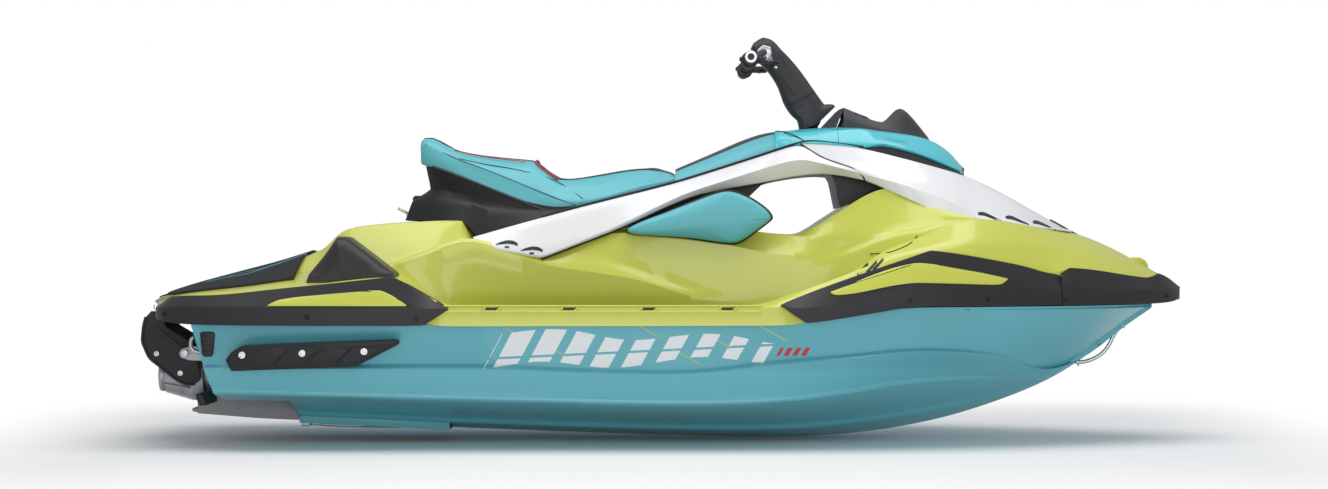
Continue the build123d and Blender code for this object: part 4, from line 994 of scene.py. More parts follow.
def stuffed(piece, seams, cap):
    """Swells a pad's vinyl between its seams by a short cloth simulation, moving no point more than cap mm."""
    stitches = [Vector(p) / 1000 for line in seams for p in line]
    tree = KDTree(len(stitches))
    for i, stitch in enumerate(stitches):
        tree.insert(stitch, i)
    tree.balance()
    start = [v.co.copy() for v in piece.data.vertices]
    sewn = piece.vertex_groups.new(name="sewn")
    sewn.add([i for i, co in enumerate(start) if tree.find(co)[2] < 0.009], 1, "REPLACE")
    cloth = piece.modifiers.new("stuffing", "CLOTH")
    cloth.settings.vertex_group_mass = "sewn"
    cloth.settings.use_pressure = True
    cloth.settings.uniform_pressure_force = 4
    cloth.settings.bending_stiffness = 2
    cloth.settings.effector_weights.gravity = 0
    for moment in range(1, 21):
        bpy.context.scene.frame_set(moment)
    finished(piece)
    bpy.context.scene.frame_set(1)
    for v, co in zip(piece.data.vertices, start):
        shift = v.co - co
        v.co = co + shift * min(1, cap / 1000 / max(shift.length, 1e-6))
    smooth = piece.modifiers.new("smooth", "SUBSURF")
    smooth.levels = smooth.render_levels = 1
    return finished(piece)


def between(line, steps=8):
    """A seam's points, closer together."""
    return [tuple(Vector(a).lerp(Vector(b), i / steps)) for a, b in zip(line, line[1:]) for i in range(steps)]


seat_lines = [
    seat_line((-733, 0, 618), (-726, 0, 606), (-700, 0, 600), (-628, 0, 578), (-547, 0, 546), (-442, 0, 505),
              (-316, 0, 465), (-250, 0, 472), (-49, 0, 523), (20, 0, 543), (33, 0, 549)),
    seat_line((-733, 60, 618), (-726, 112, 606), (-700, 132, 600), (-628, 155, 578), (-547, 170, 546), (-442, 186, 505),
              (-316, 190, 465), (-250, 188, 472), (-49, 170, 523), (20, 158, 543), (33, 150, 549)),
    seat_line((-733, 66, 628), (-727, 120, 610), (-700, 140, 603), (-628, 166, 578), (-547, 182, 546), (-442, 198, 504),
              (-316, 203, 464), (-250, 200, 472), (-49, 182, 524), (20, 168, 544), (33, 158, 552)),
    seat_line((-733, 68, 640), (-727, 126, 634), (-700, 148, 628), (-628, 172, 602), (-547, 186, 568), (-442, 201, 528),
              (-316, 206, 488), (-250, 203, 488), (-49, 184, 540), (20, 168, 556), (33, 156, 560)),
    # stitched seam along the side
    seat_line((-733, 68, 655), (-727, 122, 664), (-708, 138, 663), (-652, 156, 638), (-604, 168, 617), (-517, 182, 585),
              (-397, 196, 535), (-302, 203, 497), (-249, 203, 494), (-49, 182, 547), (20, 166, 562), (33, 155, 566)),
    seat_line((-733, 66, 662), (-727, 116, 674), (-700, 134, 675), (-628, 146, 640), (-540, 156, 612), (-442, 166, 590),
              (-383, 166, 584), (-316, 172, 540), (-250, 172, 540), (-49, 150, 572), (20, 138, 570), (33, 130, 568)),
    seat_line((-733, 56, 666), (-727, 96, 682), (-700, 106, 684), (-628, 116, 648), (-540, 122, 628), (-442, 130, 616),
              (-383, 132, 609), (-316, 138, 558), (-250, 134, 560), (-49, 114, 589), (20, 100, 576), (33, 96, 571)),
    # edge of the top panel
    seat_line((-733, 40, 668), (-727, 64, 684), (-700, 70, 687), (-628, 78, 650), (-540, 86, 632), (-442, 92, 622),
              (-383, 96, 616), (-316, 104, 560), (-250, 100, 565), (-49, 84, 593), (20, 74, 579), (33, 70, 573)),
    seat_line((-733, 0, 671), (-727, 0, 688), (-700, 0, 690), (-628, 0, 654), (-540, 0, 635), (-442, 0, 625),
              (-383, 0, 620), (-316, 0, 572), (-250, 0, 582), (-49, 0, 612), (20, 0, 595), (33, 0, 584)),
]
seat = skin("seat_cushion", seat_lines, vinyl_cyan, body="cushion", mirror=True, thick=0, level=1, facing=(0, 0, 1),
            sharp={1: 0.8, 2: 0.4, 4: 0.5, 7: 0.3}, cross={12: 0.7, 14: 0.7, 0: 0.6, 25: 0.6}, tints={7: vinyl_black},
            ends=True, crisp=0, slot="seat_vinyl", replaces=("seat",))
seat_seams = [between(to_side(side, seat_lines[i])) for i in (1, 4, 7) for side in (-1, 1)]
nose_edge = [line[12] for line in seat_lines[4:]]
nose_edge = [(x, -y, z) for x, y, z in nose_edge] + [(x, y, z) for x, y, z in reversed(nose_edge[:-1])]
seat = stuffed(seat, [*seat_seams, between(nose_edge), between([(x, 0, z) for x, _, z in seat_lines[0]])], 5)
upholstery = side_of(seat)
side_seams = (((-712, 664), (-652, 638), (-604, 617), (-517, 585), (-397, 535), (-302, 497), (-262, 484)),
              ((-608, 622), (-540, 606), (-457, 594), (-390, 578), (-338, 564), (-302, 547), (-240, 502)))
for word, side in sides_of_craft:
    for i, seam in enumerate(side_seams):
        rod(f"seat_side_seam_{word}_{i}", [upholstery(x, z, side, 0.4) for x, z in seam], 1.3, vinyl_black,
            body="cushion", slot="seat_vinyl", sides=8)
    rod(f"seat_top_piping_{word}", to_side(side, seat_lines[7][2:-1], 0.4, 0.6), 1.6, vinyl_black, body="cushion",
        slot="seat_vinyl")
    # black bead where the cushion rests on its base
    rod(f"seat_lower_bead_{word}", to_side(side, seat_lines[2][4:-1], -1, -1), 4, vinyl_black, body="cushion",
        slot="seat_vinyl")

piping_red = vinyl("piping_red", (0.5, 0.02, 0.02))
for word, side in sides_of_craft:
    rod(f"seat_edge_piping_{word}", to_side(side, seat_lines[6][6:12], 1, 1.5), 1.5, piping_red, body="cushion",
        slot="seat_vinyl")
step_edge = [(x, y, z + 2) for x, y, z in (*reversed(seat_lines[6][12:15]), seat_lines[7][12], seat_lines[8][12])]
rod("seat_red_piping", to_side(-1, step_edge, 2) + to_side(1, step_edge[-2::-1], 2), 3, piping_red,
    body="cushion", slot="seat_vinyl")

front_x = (35, 42, 100, 160, 225, 291, 331, 352)
front_lines = [
    run(front_x, (32, 140, 556), (160, 140, 592), (291, 146, 634), (352, 146, 655)),
    run(front_x, (32, 166, 552), (160, 166, 590), (291, 172, 632), (352, 176, 651)),
    run(front_x, (32, 158, 568), (160, 158, 612), (291, 166, 656), (352, 172, 676)),
    run(front_x, (32, 132, 580), (160, 128, 630), (291, 132, 681), (352, 140, 697)),
    run(front_x, (32, 98, 585), (160, 92, 637), (291, 92, 690), (352, 98, 703)),
    run(front_x, (32, 0, 599), (160, 0, 655), (291, 0, 709), (352, 0, 715)),
]
front_seat = skin("front_seat_pad", front_lines, vinyl_cyan, mirror=True, facing=(0, 0, 1),
                  tints={4: vinyl_black}, sharp={0: 1, 1: 0.6, 4: 0.3}, cross={0: 1, 1: 0.5}, slot="seat_vinyl",
                  replaces=("front_seat",), crisp=0)
front_seat = stuffed(front_seat, [between(to_side(side, front_lines[i])) for i in (0, 1, 4)
                                  for side in (-1, 1)], 3)
for word, side in sides_of_craft:
    rod(f"front_seat_piping_{word}", to_side(side, front_lines[4], 0.5, 0.7), 1.6, vinyl_black, slot="seat_vinyl")

# ------------------------------------------------------------------ knee pads
# Cyan vinyl pads over foam, each on a black backing plate fixed to the spine's side.

knee_outline = ((-118, 414), (-104, 401), (-81, 394), (50, 390), (120, 381), (183, 371), (218, 371), (250, 393),
                (283, 416), (312, 438), (317, 446), (306, 466), (278, 487), (249, 505), (203, 524), (176, 523),
                (144, 515), (60, 482), (-30, 447))


def rings(name, outline, steps, material, side, slot, body="craft"):
    """A pad built from shrinking rings: steps gives (scale, y, crease) from the base to the crown."""
    middle = Vector((sum(p[0] for p in outline) / len(outline), sum(p[1] for p in outline) / len(outline)))
    loops = []
    for scale, y, _ in steps:
        ring = []
        for i, (x, z) in enumerate(outline):
            inward = (middle - Vector((x, z))).normalized() * scale
            ring.append((x + inward.x, side * y, z + inward.y))
        loops.append([*ring, ring[0]])
    loops.append([(middle.x, side * (steps[-1][1] + 1), middle.y)] * (len(outline) + 1))
    return skin(name, loops, material, body=body, sharp={i: step[2] for i, step in enumerate(steps)},
                facing=(0, side, 0), slot=slot, crisp=0)


for word, side in sides_of_craft:
    rings(f"knee_backing_{word}", knee_outline, ((-5, 236, 1), (-6, 258, 0.8), (-3, 262, 0.6), (8, 262, 0)), black,
          side, "black_plastic")
    pad = rings(f"knee_pad_vinyl_{word}", knee_outline, ((0, 250, 1), (0, 266, 0.3), (7, 281, 0.25), (24, 286, 0),
                                                         (46, 287.5, 0)), vinyl_cyan, side, "seat_vinyl")
    pad = stuffed(pad, [between(upright(side * y, knee_outline)) for y in (250, 266)], 4)
    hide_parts(f"knee_pad_{word}")

# ------------------------------------------------------------------ hood
# The fixed collar round the steering and the lid of the front locker carry on
# the seat's cyan forward; a black rubber strip fills the gap down to the cowls.

hood_cyan = gelcoat("hood_cyan", (0.075, 0.53, 0.62), 0.2)
collar_x = (331, 345, 404, 460, 508, 516.8)
lid_x = (518, 527, 560, 600, 645, 690, 735, 790, 835, 870, 892, 902)


def hood_lines(stations):
    """The hood's feature lines: hidden lip, low edge, flank crease, upper crease, shoulder and crown."""
    return [
        run(stations, (331, 166, 640), (404, 174, 656), (518, 176, 650), (592, 172, 646), (645, 168, 652),
            (732, 154, 634), (820, 118, 604), (892, 62, 578), (903, 34, 576)),
        run(stations, (331, 180, 651), (404, 190, 668), (445, 193, 668), (518, 193, 662), (592, 191, 655),
            (614, 189, 658), (640, 186, 667), (732, 171, 646), (763, 164, 638), (820, 138, 615), (892, 76, 588),
            (903, 46, 586)),
        run(stations, (331, 168, 676), (404, 180, 684), (518, 186, 678), (592, 183, 674), (645, 178, 678),
            (732, 160, 660), (820, 126, 628), (892, 66, 598), (903, 40, 594)),
        run(stations, (331, 136, 704), (404, 158, 700), (518, 158, 707), (615, 150, 712), (651, 140, 688),
            (735, 116, 676), (843, 78, 645), (892, 48, 608), (903, 32, 600)),
        run(stations, (331, 98, 705), (404, 108, 713), (518, 112, 718), (615, 108, 716), (651, 102, 708),
            (735, 86, 699), (805, 66, 682), (860, 48, 648), (892, 36, 613), (903, 24, 603)),
        run(stations, (331, 0, 706), (404, 0, 715), (518, 0, 722), (615, 0, 719), (651, 0, 714), (735, 0, 704),
            (805, 0, 688), (860, 0, 654), (892, 0, 617), (903, 0, 605)),
    ]


hood_creases = {0: 0.8, 1: 0.6, 2: 0.25, 3: 0.6, 4: 0.3}
skin("hood_collar", hood_lines(collar_x), hood_cyan, mirror=True, thick=4, facing=(0, 0, 1), sharp=hood_creases,
     cross={0: 1, 1: 0.5, 4: 0.6, 5: 1}, slot="hood_panel", replaces=("collar",))
skin("hood_lid", hood_lines(lid_x), hood_cyan, body="lid", mirror=True, thick=4, facing=(0, 0, 1), sharp=hood_creases,
     cross={0: 1, 1: 0.6, 4: 0.35, 10: 0.5, 11: 1}, slot="hood_panel", replaces=("hood",))

strip_x = (566, 600, 640, 690, 732, 763, 820, 870, 892)
strip_top = run(strip_x, (566, 188, 654), (600, 186, 655), (640, 181, 667), (732, 166, 646), (763, 159, 638),
                (820, 133, 615), (892, 71, 588))
strip_low = run(strip_x, (566, 191, 650), (600, 189, 647), (640, 187, 641), (732, 175, 616), (763, 170, 607),
                (820, 151, 593), (892, 117, 572))
pair("hood_strip", [inboard(strip_top, 16, -6), inboard(strip_top, 3, -4), inboard(strip_low, 2, 3),
                    inboard(strip_low, 12, -6)], charcoal, thick=3, facing=(0, 0, 1), slot="bumper_rubber",
     sharp={1: 0.6, 2: 0.6})
for word, side in sides_of_craft:
    piping = ((334, 100, 707), (345, 130, 706), (372, 162, 699), (404, 178, 683), (418, 188, 672))
    rod(f"collar_piping_{word}", to_side(side, piping), 1.6, black, slot="black_plastic")

# hinge at the hood's front edge: the deck's bracket and the hood's knuckles
plate("hinge_bracket", [(865, -17, 470), (889, -17, 597), (895, -17, 602), (903, -17, 602), (908, -17, 596),
                        (915, -17, 470)], (0, 34, 0), black, edge=2, slot="black_plastic")
for side in (-1, 1):
    turned(f"hinge_knuckle_{side + 1}", (899, side * 19, 593), (0, side, 0),
           ((0, 0), (8, 0), (9, 1), (9, 15), (8, 16), (0, 16)), black, body="lid", slot="black_plastic")

# ------------------------------------------------------------------ console
# A black grained pod stands on the lid behind the hood's front slope: an
# instrument tray that dips forward and a peaked shield. Its display is blank.

grained_black = grained("console_black", (0.035, 0.035, 0.038), 0.42, 1300.0, 0.0004)
pod_x = (518, 526, 540, 556, 600, 640, 662, 682, 698, 712, 727, 749, 775, 802)
pod_lines = [
    run(pod_x, (518, 70, 706), (540, 88, 708), (600, 98, 707), (662, 94, 698), (712, 88, 692), (749, 74, 686),
        (802, 40, 680)),
    run(pod_x, (518, 68, 733), (540, 84, 742), (600, 92, 728), (662, 88, 714), (712, 80, 706), (749, 66, 698),
        (802, 34, 684)),
    run(pod_x, (518, 58, 758), (540, 70, 768), (600, 76, 750), (640, 74, 736), (662, 70, 733), (682, 64, 745),
        (712, 52, 766), (727, 46, 764), (749, 38, 744), (802, 20, 688)),
    run(pod_x, (518, 46, 766), (540, 54, 779), (600, 56, 753), (640, 54, 738), (656, 50, 735), (682, 44, 751),
        (698, 36, 771), (712, 30, 779), (727, 26, 776), (749, 22, 755), (802, 12, 690)),
    run(pod_x, (518, 0, 767), (540, 0, 781), (600, 0, 756), (640, 0, 740), (656, 0, 736), (682, 0, 753),
        (698, 0, 773), (712, 0, 781), (727, 0, 778), (749, 0, 757), (802, 0, 691)),
]
for line, x in zip(pod_lines, (518, 531, 543, 547, 547)):
    # the pod's back follows the arc that it swings through
    line[0] = (x, line[0][1], line[1][2] - (4 if x > 540 else 9) if x > 518 else line[0][2])
    line[1] = (x + 6, *line[1][1:])
skin("console_pod", pod_lines, grained_black, body="lid", mirror=True, thick=3, facing=(0, 0, 1),
     sharp={0: 1, 1: 0.3, 2: 0.6, 3: 0.55}, cross={0: 1, 2: 0.7, 6: 0.3, 13: 1}, slot="black_plastic",
     replaces=("console",))
# the fixed shroud behind the pod, leaning with the steering column
shroud = ((470, 714), (474, 708), (514, 706), (526, 740), (538, 768), (534, 776), (526, 773))
skin("console_shroud", [[(x, y, z) for y in (-80, -74, 0, 74, 80)] for x, z in shroud], grained_black, loop=True,
     level=1, sharp={i: 0.8 for i in range(7)}, facing=(-1, 0, 1), slot="black_plastic")
glass = Finish("display_glass", (0.012, 0.014, 0.018), 0.08, coat=0.6)
glass.paint(roughness=0.06 + 0.06 * glass.noise(60.0, 3.0))
plate("display_bezel", [(562, -50, 771), (562, 50, 771), (620, 46, 749), (620, -46, 749)], (-1, 0, -12), black,
      body="lid", edge=3, slot="black_plastic")
plate("display_glass", [(567, -42, 770.5), (567, 42, 770.5), (614, 39, 752.7), (614, -39, 752.7)], (-1, 0, -3),
      glass.material, body="lid", edge=1, slot="black_plastic")
for i, (y, x) in enumerate(((-66, 575), (-66, 600), (66, 575), (66, 600))):
    disc(f"console_key_{i}", (x, y, 757.5 - 0.33 * (x - 575)), (0.3, 0, 1), 8, 4, black, body="lid", dish=1,
         slot="black_plastic")

# ------------------------------------------------------------------ steering
# A leaning black column: a folded rubber boot at the neck, a boxy moulded cover
# that flares at its foot, with a panel on each flank, and a cap over the bar's clamp.

steer_axis, steer_front = Vector((-0.488, 0, 0.873)), Vector((0.873, 0, 0.488))


def leaning(*points):
    """Column points (reach along the steering axis, y, distance ahead of it) as (x, y, z)."""
    return [Vector((449, y, 730)) + steer_axis * reach + steer_front * ahead for reach, y, ahead in points]


def column_line(levels, *points):
    """A line up the column; its lower edge rises towards the back and into a beak at the front."""
    line = []
    for reach, y, ahead in run(levels, *points):
        rise = (0.23 if ahead > 0 else 0.36) * abs(ahead) * max(0, 1 - reach / 60)
        line.append((reach + rise, y, ahead))
    return leaning(*line)


reaches = (-10, -4, 2, 12, 22, 28, 40, 56, 75, 101, 130, 160, 195, 224, 243, 262, 280, 294, 303)
column_lines = [
    column_line(reaches, (-10, 0, -41), (16, 0, -35), (26, 0, -33), (56, 0, -41), (91, 0, -45), (153, 0, -34),
                (195, 0, -36), (224, 0, -41), (243, 0, -49), (294, 0, -49), (303, 0, -34)),
    column_line(reaches, (-10, 24, -40), (26, 24, -33), (56, 24, -41), (101, 22, -44), (153, 20, -33),
                (195, 22, -36), (224, 28, -41), (243, 34, -49), (294, 32, -49), (303, 22, -34)),
    column_line(reaches, (-10, 38, -28), (26, 40, -20), (56, 40, -28), (101, 38, -28), (153, 34, -20),
                (195, 35, -22), (224, 40, -28), (243, 44, -34), (280, 43, -36), (294, 38, -40), (303, 26, -30)),
    column_line(reaches, (-10, 42, 8), (12, 44, 16), (26, 42, 20), (56, 42, 22), (101, 40, 22), (153, 36, 20),
                (195, 36, 16), (224, 39, 10), (243, 42, 2), (280, 41, -10), (294, 36, -18), (303, 26, -20)),
    column_line(reaches, (-10, 30, 52), (2, 31, 54), (22, 33, 46), (28, 34, 43), (56, 34, 40), (101, 32, 36),
                (153, 28, 31), (195, 28, 25), (224, 32, 20), (243, 36, 14), (280, 36, 6), (294, 30, -2),
                (303, 20, -10)),
    column_line(reaches, (-10, 16, 84), (2, 16, 84), (22, 18, 68), (28, 20, 60), (56, 22, 57), (101, 20, 53),
                (153, 18, 48), (195, 18, 41), (224, 22, 34), (243, 26, 28), (280, 26, 20), (294, 22, 10),
                (303, 14, 0)),
    column_line(reaches, (-10, 0, 92), (2, 0, 90), (22, 0, 73), (28, 0, 65), (56, 0, 62), (101, 0, 57), (153, 0, 52),
                (195, 0, 45), (224, 0, 38), (243, 0, 32), (280, 0, 24), (294, 0, 14), (303, 0, 3)),
]
column_black = grained("column_black", (0.03, 0.03, 0.033), 0.45, 1100.0, 0.0004)
skin("column_cover", column_lines, column_black, body="steering", mirror=True, loop=False, facing=(0, 0, 1),
     sharp={1: 0.2, 2: 0.45, 4: 0.6, 5: 0.2}, cross={0: 1, 2: 0.4, 5: 0.7, 14: 0.3, 17: 0.4, 18: 1}, level=2,
     slot="black_plastic", replaces=("column",))
plate("column_cap", leaning((302, 22, -32), (304.5, 27, -20), (304.5, 21, -8), (303.5, 12, 2), (303.5, -12, 2),
                            (304.5, -21, -8), (304.5, -27, -20), (302, -22, -32)),
      steer_axis * -6, black, body="steering", edge=2, slot="black_plastic")
# rubber boot between the cover's lower edge and the collar, in three folds
foot = [line[1] for line in column_lines]
foot += [Vector((p.x, -p.y, p.z)) for p in reversed(foot[1:-1])]
boot = []
for share, width in ((0, 0.84), (0.16, 0.9), (0.3, 0.8), (0.46, 0.9), (0.6, 0.8), (0.76, 0.9), (1, 0.82)):
    ring = []
    for edge in foot:
        ahead = min(edge.x, 498) - 452
        high = Vector((452 + ahead * width, edge.y * width, edge.z + 3))
        low = Vector((436 + 0.62 * ahead * width, edge.y * width * 0.95, 700))
        ring.append(low.lerp(high, share))
    boot.append([*ring, ring[0]])
skin("neck_boot", boot, black, body="steering", level=1, sharp={1: 0.5, 2: 0.5, 3: 0.5, 4: 0.5, 5: 0.5},
     facing=(0, 0, 1), slot="black_rubber")
for side in (-1, 1):
    # side panel with a keyway-shaped recess, fixed to the cover's flank; the recess is a darker plate, painted shade
    panel = leaning((66, side * 38.5, -22), (66, side * 41, 6), (120, side * 38, 8), (178, side * 35.5, 6),
                    (184, side * 35.5, -14), (150, side * 34, -14), (110, side * 36.5, -22))
    plate(f"column_panel_{side + 1}", panel, (0, side * 3.5, 0), column_black, body="steering", edge=1.2,
          slot="black_plastic")
    slot_line = leaning((104, side * 41.6, -12), (104, side * 42, -2), (166, side * 39.6, -4),
                        (166, side * 39.3, -11))
    plate(f"column_slot_{side + 1}", slot_line, (0, side * 0.7, 0), black_and_painted_shade.material, body="steering", edge=0.3,
          slot="black_plastic")
    disc(f"column_boss_{side + 1}", leaning((262, side * 41, -20))[0], (0, side, 0), 15, 6, black, body="steering",
         dish=2, slot="black_plastic")
    disc(f"column_screw_{side + 1}", leaning((205, side * 36, -12))[0], (0, side, 0), 5, 3, stainless,
         body="steering", dish=1.5, sides=16, slot="stainless")
    tie = leaning((84, side * 39, -30), (84, side * 43, -20), (84, side * 43.5, 14), (84, side * 36, 36),
                  (84, side * 20, 56))
    rod(f"column_seam_{side + 1}", tie, 1.3, black, body="steering", slot="black_plastic")

# ------------------------------------------------------------------ handlebar
# A bent black bar clamped under the cap, ribbed rubber grips with alloy bar-end
# rings, switch pods, a throttle lever to starboard and a brake lever to port.

rod("bar_tube", [(252, -372, 911), (252, -200, 911), (254, -185, 912), (298, -76, 945), (302, -60, 946),
                 (302, 60, 946), (298, 76, 945), (254, 185, 912), (252, 200, 911), (252, 372, 911)], 11,
    column_black, body="steering", slot="black_plastic")
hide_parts("handlebar")
alloy = Finish("bar_end_alloy", (0.62, 0.62, 0.64), 0.28, metallic=1.0)
alloy.paint(roughness=0.22 + 0.15 * alloy.noise(220.0, 4.0, (1, 8, 1)))
bar_alloy = alloy.bump(alloy.noise(500.0, 3.0, (1, 10, 1)), 0.0002, 0.3)
for side in (-1, 1):
    plate(f"bar_clamp_{side + 1}", [(282, side * 50, 930), (306, side * 50, 924), (326, side * 50, 940),
                                    (322, side * 50, 962), (298, side * 50, 968), (280, side * 50, 952)],
          (0, side * 18, 0), bar_alloy, body="steering", edge=3, slot="cast_aluminium")
ribs = [(11, 0), (17.5, 0), (19, 2), (19, 6), (16.4, 8)]
for i in range(13):
    ribs += [(16.4, 11 + 8 * i), (17.6, 12.2 + 8 * i), (17.6, 15.6 + 8 * i), (16.4, 16.8 + 8 * i)]
ribs += [(16.4, 121), (19, 124), (19, 128), (17.5, 131), (11, 131)]
for word, side in sides_of_craft:
    grip = turned(f"grip_rubber_{word}", (252, side * 368, 911), (0, -side, 0), ribs, black, body="steering",
                  slot="black_rubber")
    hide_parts(f"grip_{word}")
    turned(f"bar_end_{word}", (252, side * 366, 911), (0, side, 0),
           ((0, 1), (8.5, 1), (9, 6), (10.5, 8), (16, 8), (18, 6), (18.5, 1), (18.5, -1), (12, -2)), bar_alloy,
           body="steering", sides=36, slot="cast_aluminium")
    # switch pod with its keys
    pod = turned(f"switch_pod_{word}", (252, side * 232, 911), (0, -side, 0),
                 ((11, 0), (22, 0), (25, 3), (25, 36), (22, 39), (11, 39)), column_black, body="steering", sides=28,
                 slot="black_plastic")
    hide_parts(f"control_{word}")
    for i, (drop, forward) in enumerate(((22, -4), (24, 9))):
        disc(f"switch_key_{word}_{i}", (252 - drop, side * (206 + forward), 915), (-1, 0, 0.15), 6.5, 5,
             piping_red if i == 0 and side > 0 else black, body="steering", dish=1.2, sides=18, slot="black_plastic")
    # lever and its perch ahead of the grip
    plate(f"lever_perch_{word}", [(262, side * 198, 922), (300, side * 196, 922), (322, side * 206, 922),
                                  (318, side * 226, 922), (290, side * 222, 922), (262, side * 216, 922)],
          (0, 0, -20), column_black, body="steering", edge=4, slot="black_plastic")
    plate(f"lever_{word}", [(312, side * 204, 917), (322, side * 212, 917), (318, side * 250, 917),
                            (311, side * 290, 917), (304, side * 322, 917), (306, side * 338, 917),
                            (297, side * 338, 917), (294, side * 320, 917), (299, side * 288, 917),
                            (304, side * 250, 917), (304, side * 218, 917)],
          (0, 0, -10), bar_alloy, body="steering", edge=3, slot="cast_aluminium")
    disc(f"lever_pivot_{word}", (312, side * 212, 921), (0, 0, 1), 7, 4, stainless, body="steering", dish=1.5,
         sides=16, slot="stainless")
    cable = [(300, side * 198, 912), (330, side * 178, 908), (352, side * 120, 912), (338, side * 70, 918),
             (322, side * 46, 905)]
    rod(f"lever_cable_{word}", cable, 3.6, black, body="steering", slot="black_rubber", sides=8)

# ------------------------------------------------------------------ jet drive
# A cast alloy pump under the tail: its steering nozzle turns on upright pins, and
# a black reversing bucket swings on two arms. A ride plate closes the tunnel.


def refinish(node, material):
    """Gives a kept CAD node a finish of its own."""
    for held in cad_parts[node].material_slots:
        held.material = material


cast = Finish("cast_alloy", (0.5, 0.5, 0.52), 0.42, metallic=1.0)
cast.paint(cast.mix(cast.noise(35.0, 4.0), (0.42, 0.42, 0.44), (0.56, 0.56, 0.58)),
           0.34 + 0.2 * cast.noise(60.0, 4.0))
cast_grey = cast.bump(cast.noise(700.0, 3.0), 0.0004, 0.4)
plate_paint = Finish("plate_paint", (0.3, 0.29, 0.29), 0.5)
plate_paint.paint(plate_paint.mix(plate_paint.noise(12.0, 4.0), (0.27, 0.26, 0.26), (0.34, 0.33, 0.33)),
                  0.42 + 0.2 * plate_paint.noise(30.0, 3.0))
plate_grey = plate_paint.bump(plate_paint.noise(800.0), 0.0003, 0.3)
block = Finish("engine_black", (0.05, 0.05, 0.055), 0.6)
block.paint(block.mix(block.noise(25.0, 4.0), (0.035, 0.035, 0.04), (0.07, 0.07, 0.075)),
            0.55 + 0.2 * block.noise(40.0))
for node in ("pump", "nozzle"):
    refinish(node, cast_grey)
for node in ("shaft", "impeller"):
    refinish(node, stainless)
refinish("engine", block.bump(block.noise(400.0), 0.0006, 0.4))
for node in ("locker", "seat_frame"):
    refinish(node, black)

shaft_z = -28
nozzle = turned("nozzle_cone", (-1386, 0, shaft_z), (-1, 0, 0), (
    (70, 0), (76, 0), (78, 2), (78, 36), (75, 40), (70, 46), (67, 60), (64, 64), (64, 70), (57, 92), (50, 118), (48, 124),
    (50, 128), (50, 138), (48, 141), (40, 141), (38, 138), (46, 96), (66, 44), (70, 36), (70, 0)), cast_grey,
    body="steering_nozzle", sides=48, slot="cast_aluminium")
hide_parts("nozzle")
for i in range(6):
    turn = math.pi * (i + 0.5) / 3
    spoke = Vector((0, math.cos(turn), math.sin(turn)))
    across = Vector((0, -math.sin(turn), math.cos(turn)))
    fin = [Vector((x, 0, shaft_z)) + spoke * r - across * 2
           for x, r in ((-1430, 66), (-1428, 78), (-1512, 53), (-1514, 44))]
    plate(f"nozzle_rib_{i}", fin, across * 4, cast_grey, body="steering_nozzle", edge=1, slot="cast_aluminium")
for side in (-1, 1):
    turned(f"nozzle_pin_{side + 1}", (-1405, 0, shaft_z + side * 76), (0, 0, side),
           ((6.2, 0), (13, 0), (13, 5), (11, 7), (6.2, 7)), cast_grey, body="steering_nozzle", slot="cast_aluminium")
plate("nozzle_steer_arm", [(x, y, -36) for x, y in ((-1392, 74), (-1420, 74), (-1424, 92), (-1414, 104),
                                                   (-1396, 100))],
      (0, 0, 10), cast_grey, body="steering_nozzle", edge=2, slot="cast_aluminium")
disc("nozzle_ball", (-1408, 94, -26), (0, 0, 1), 8, 9, stainless, body="steering_nozzle", slot="stainless")

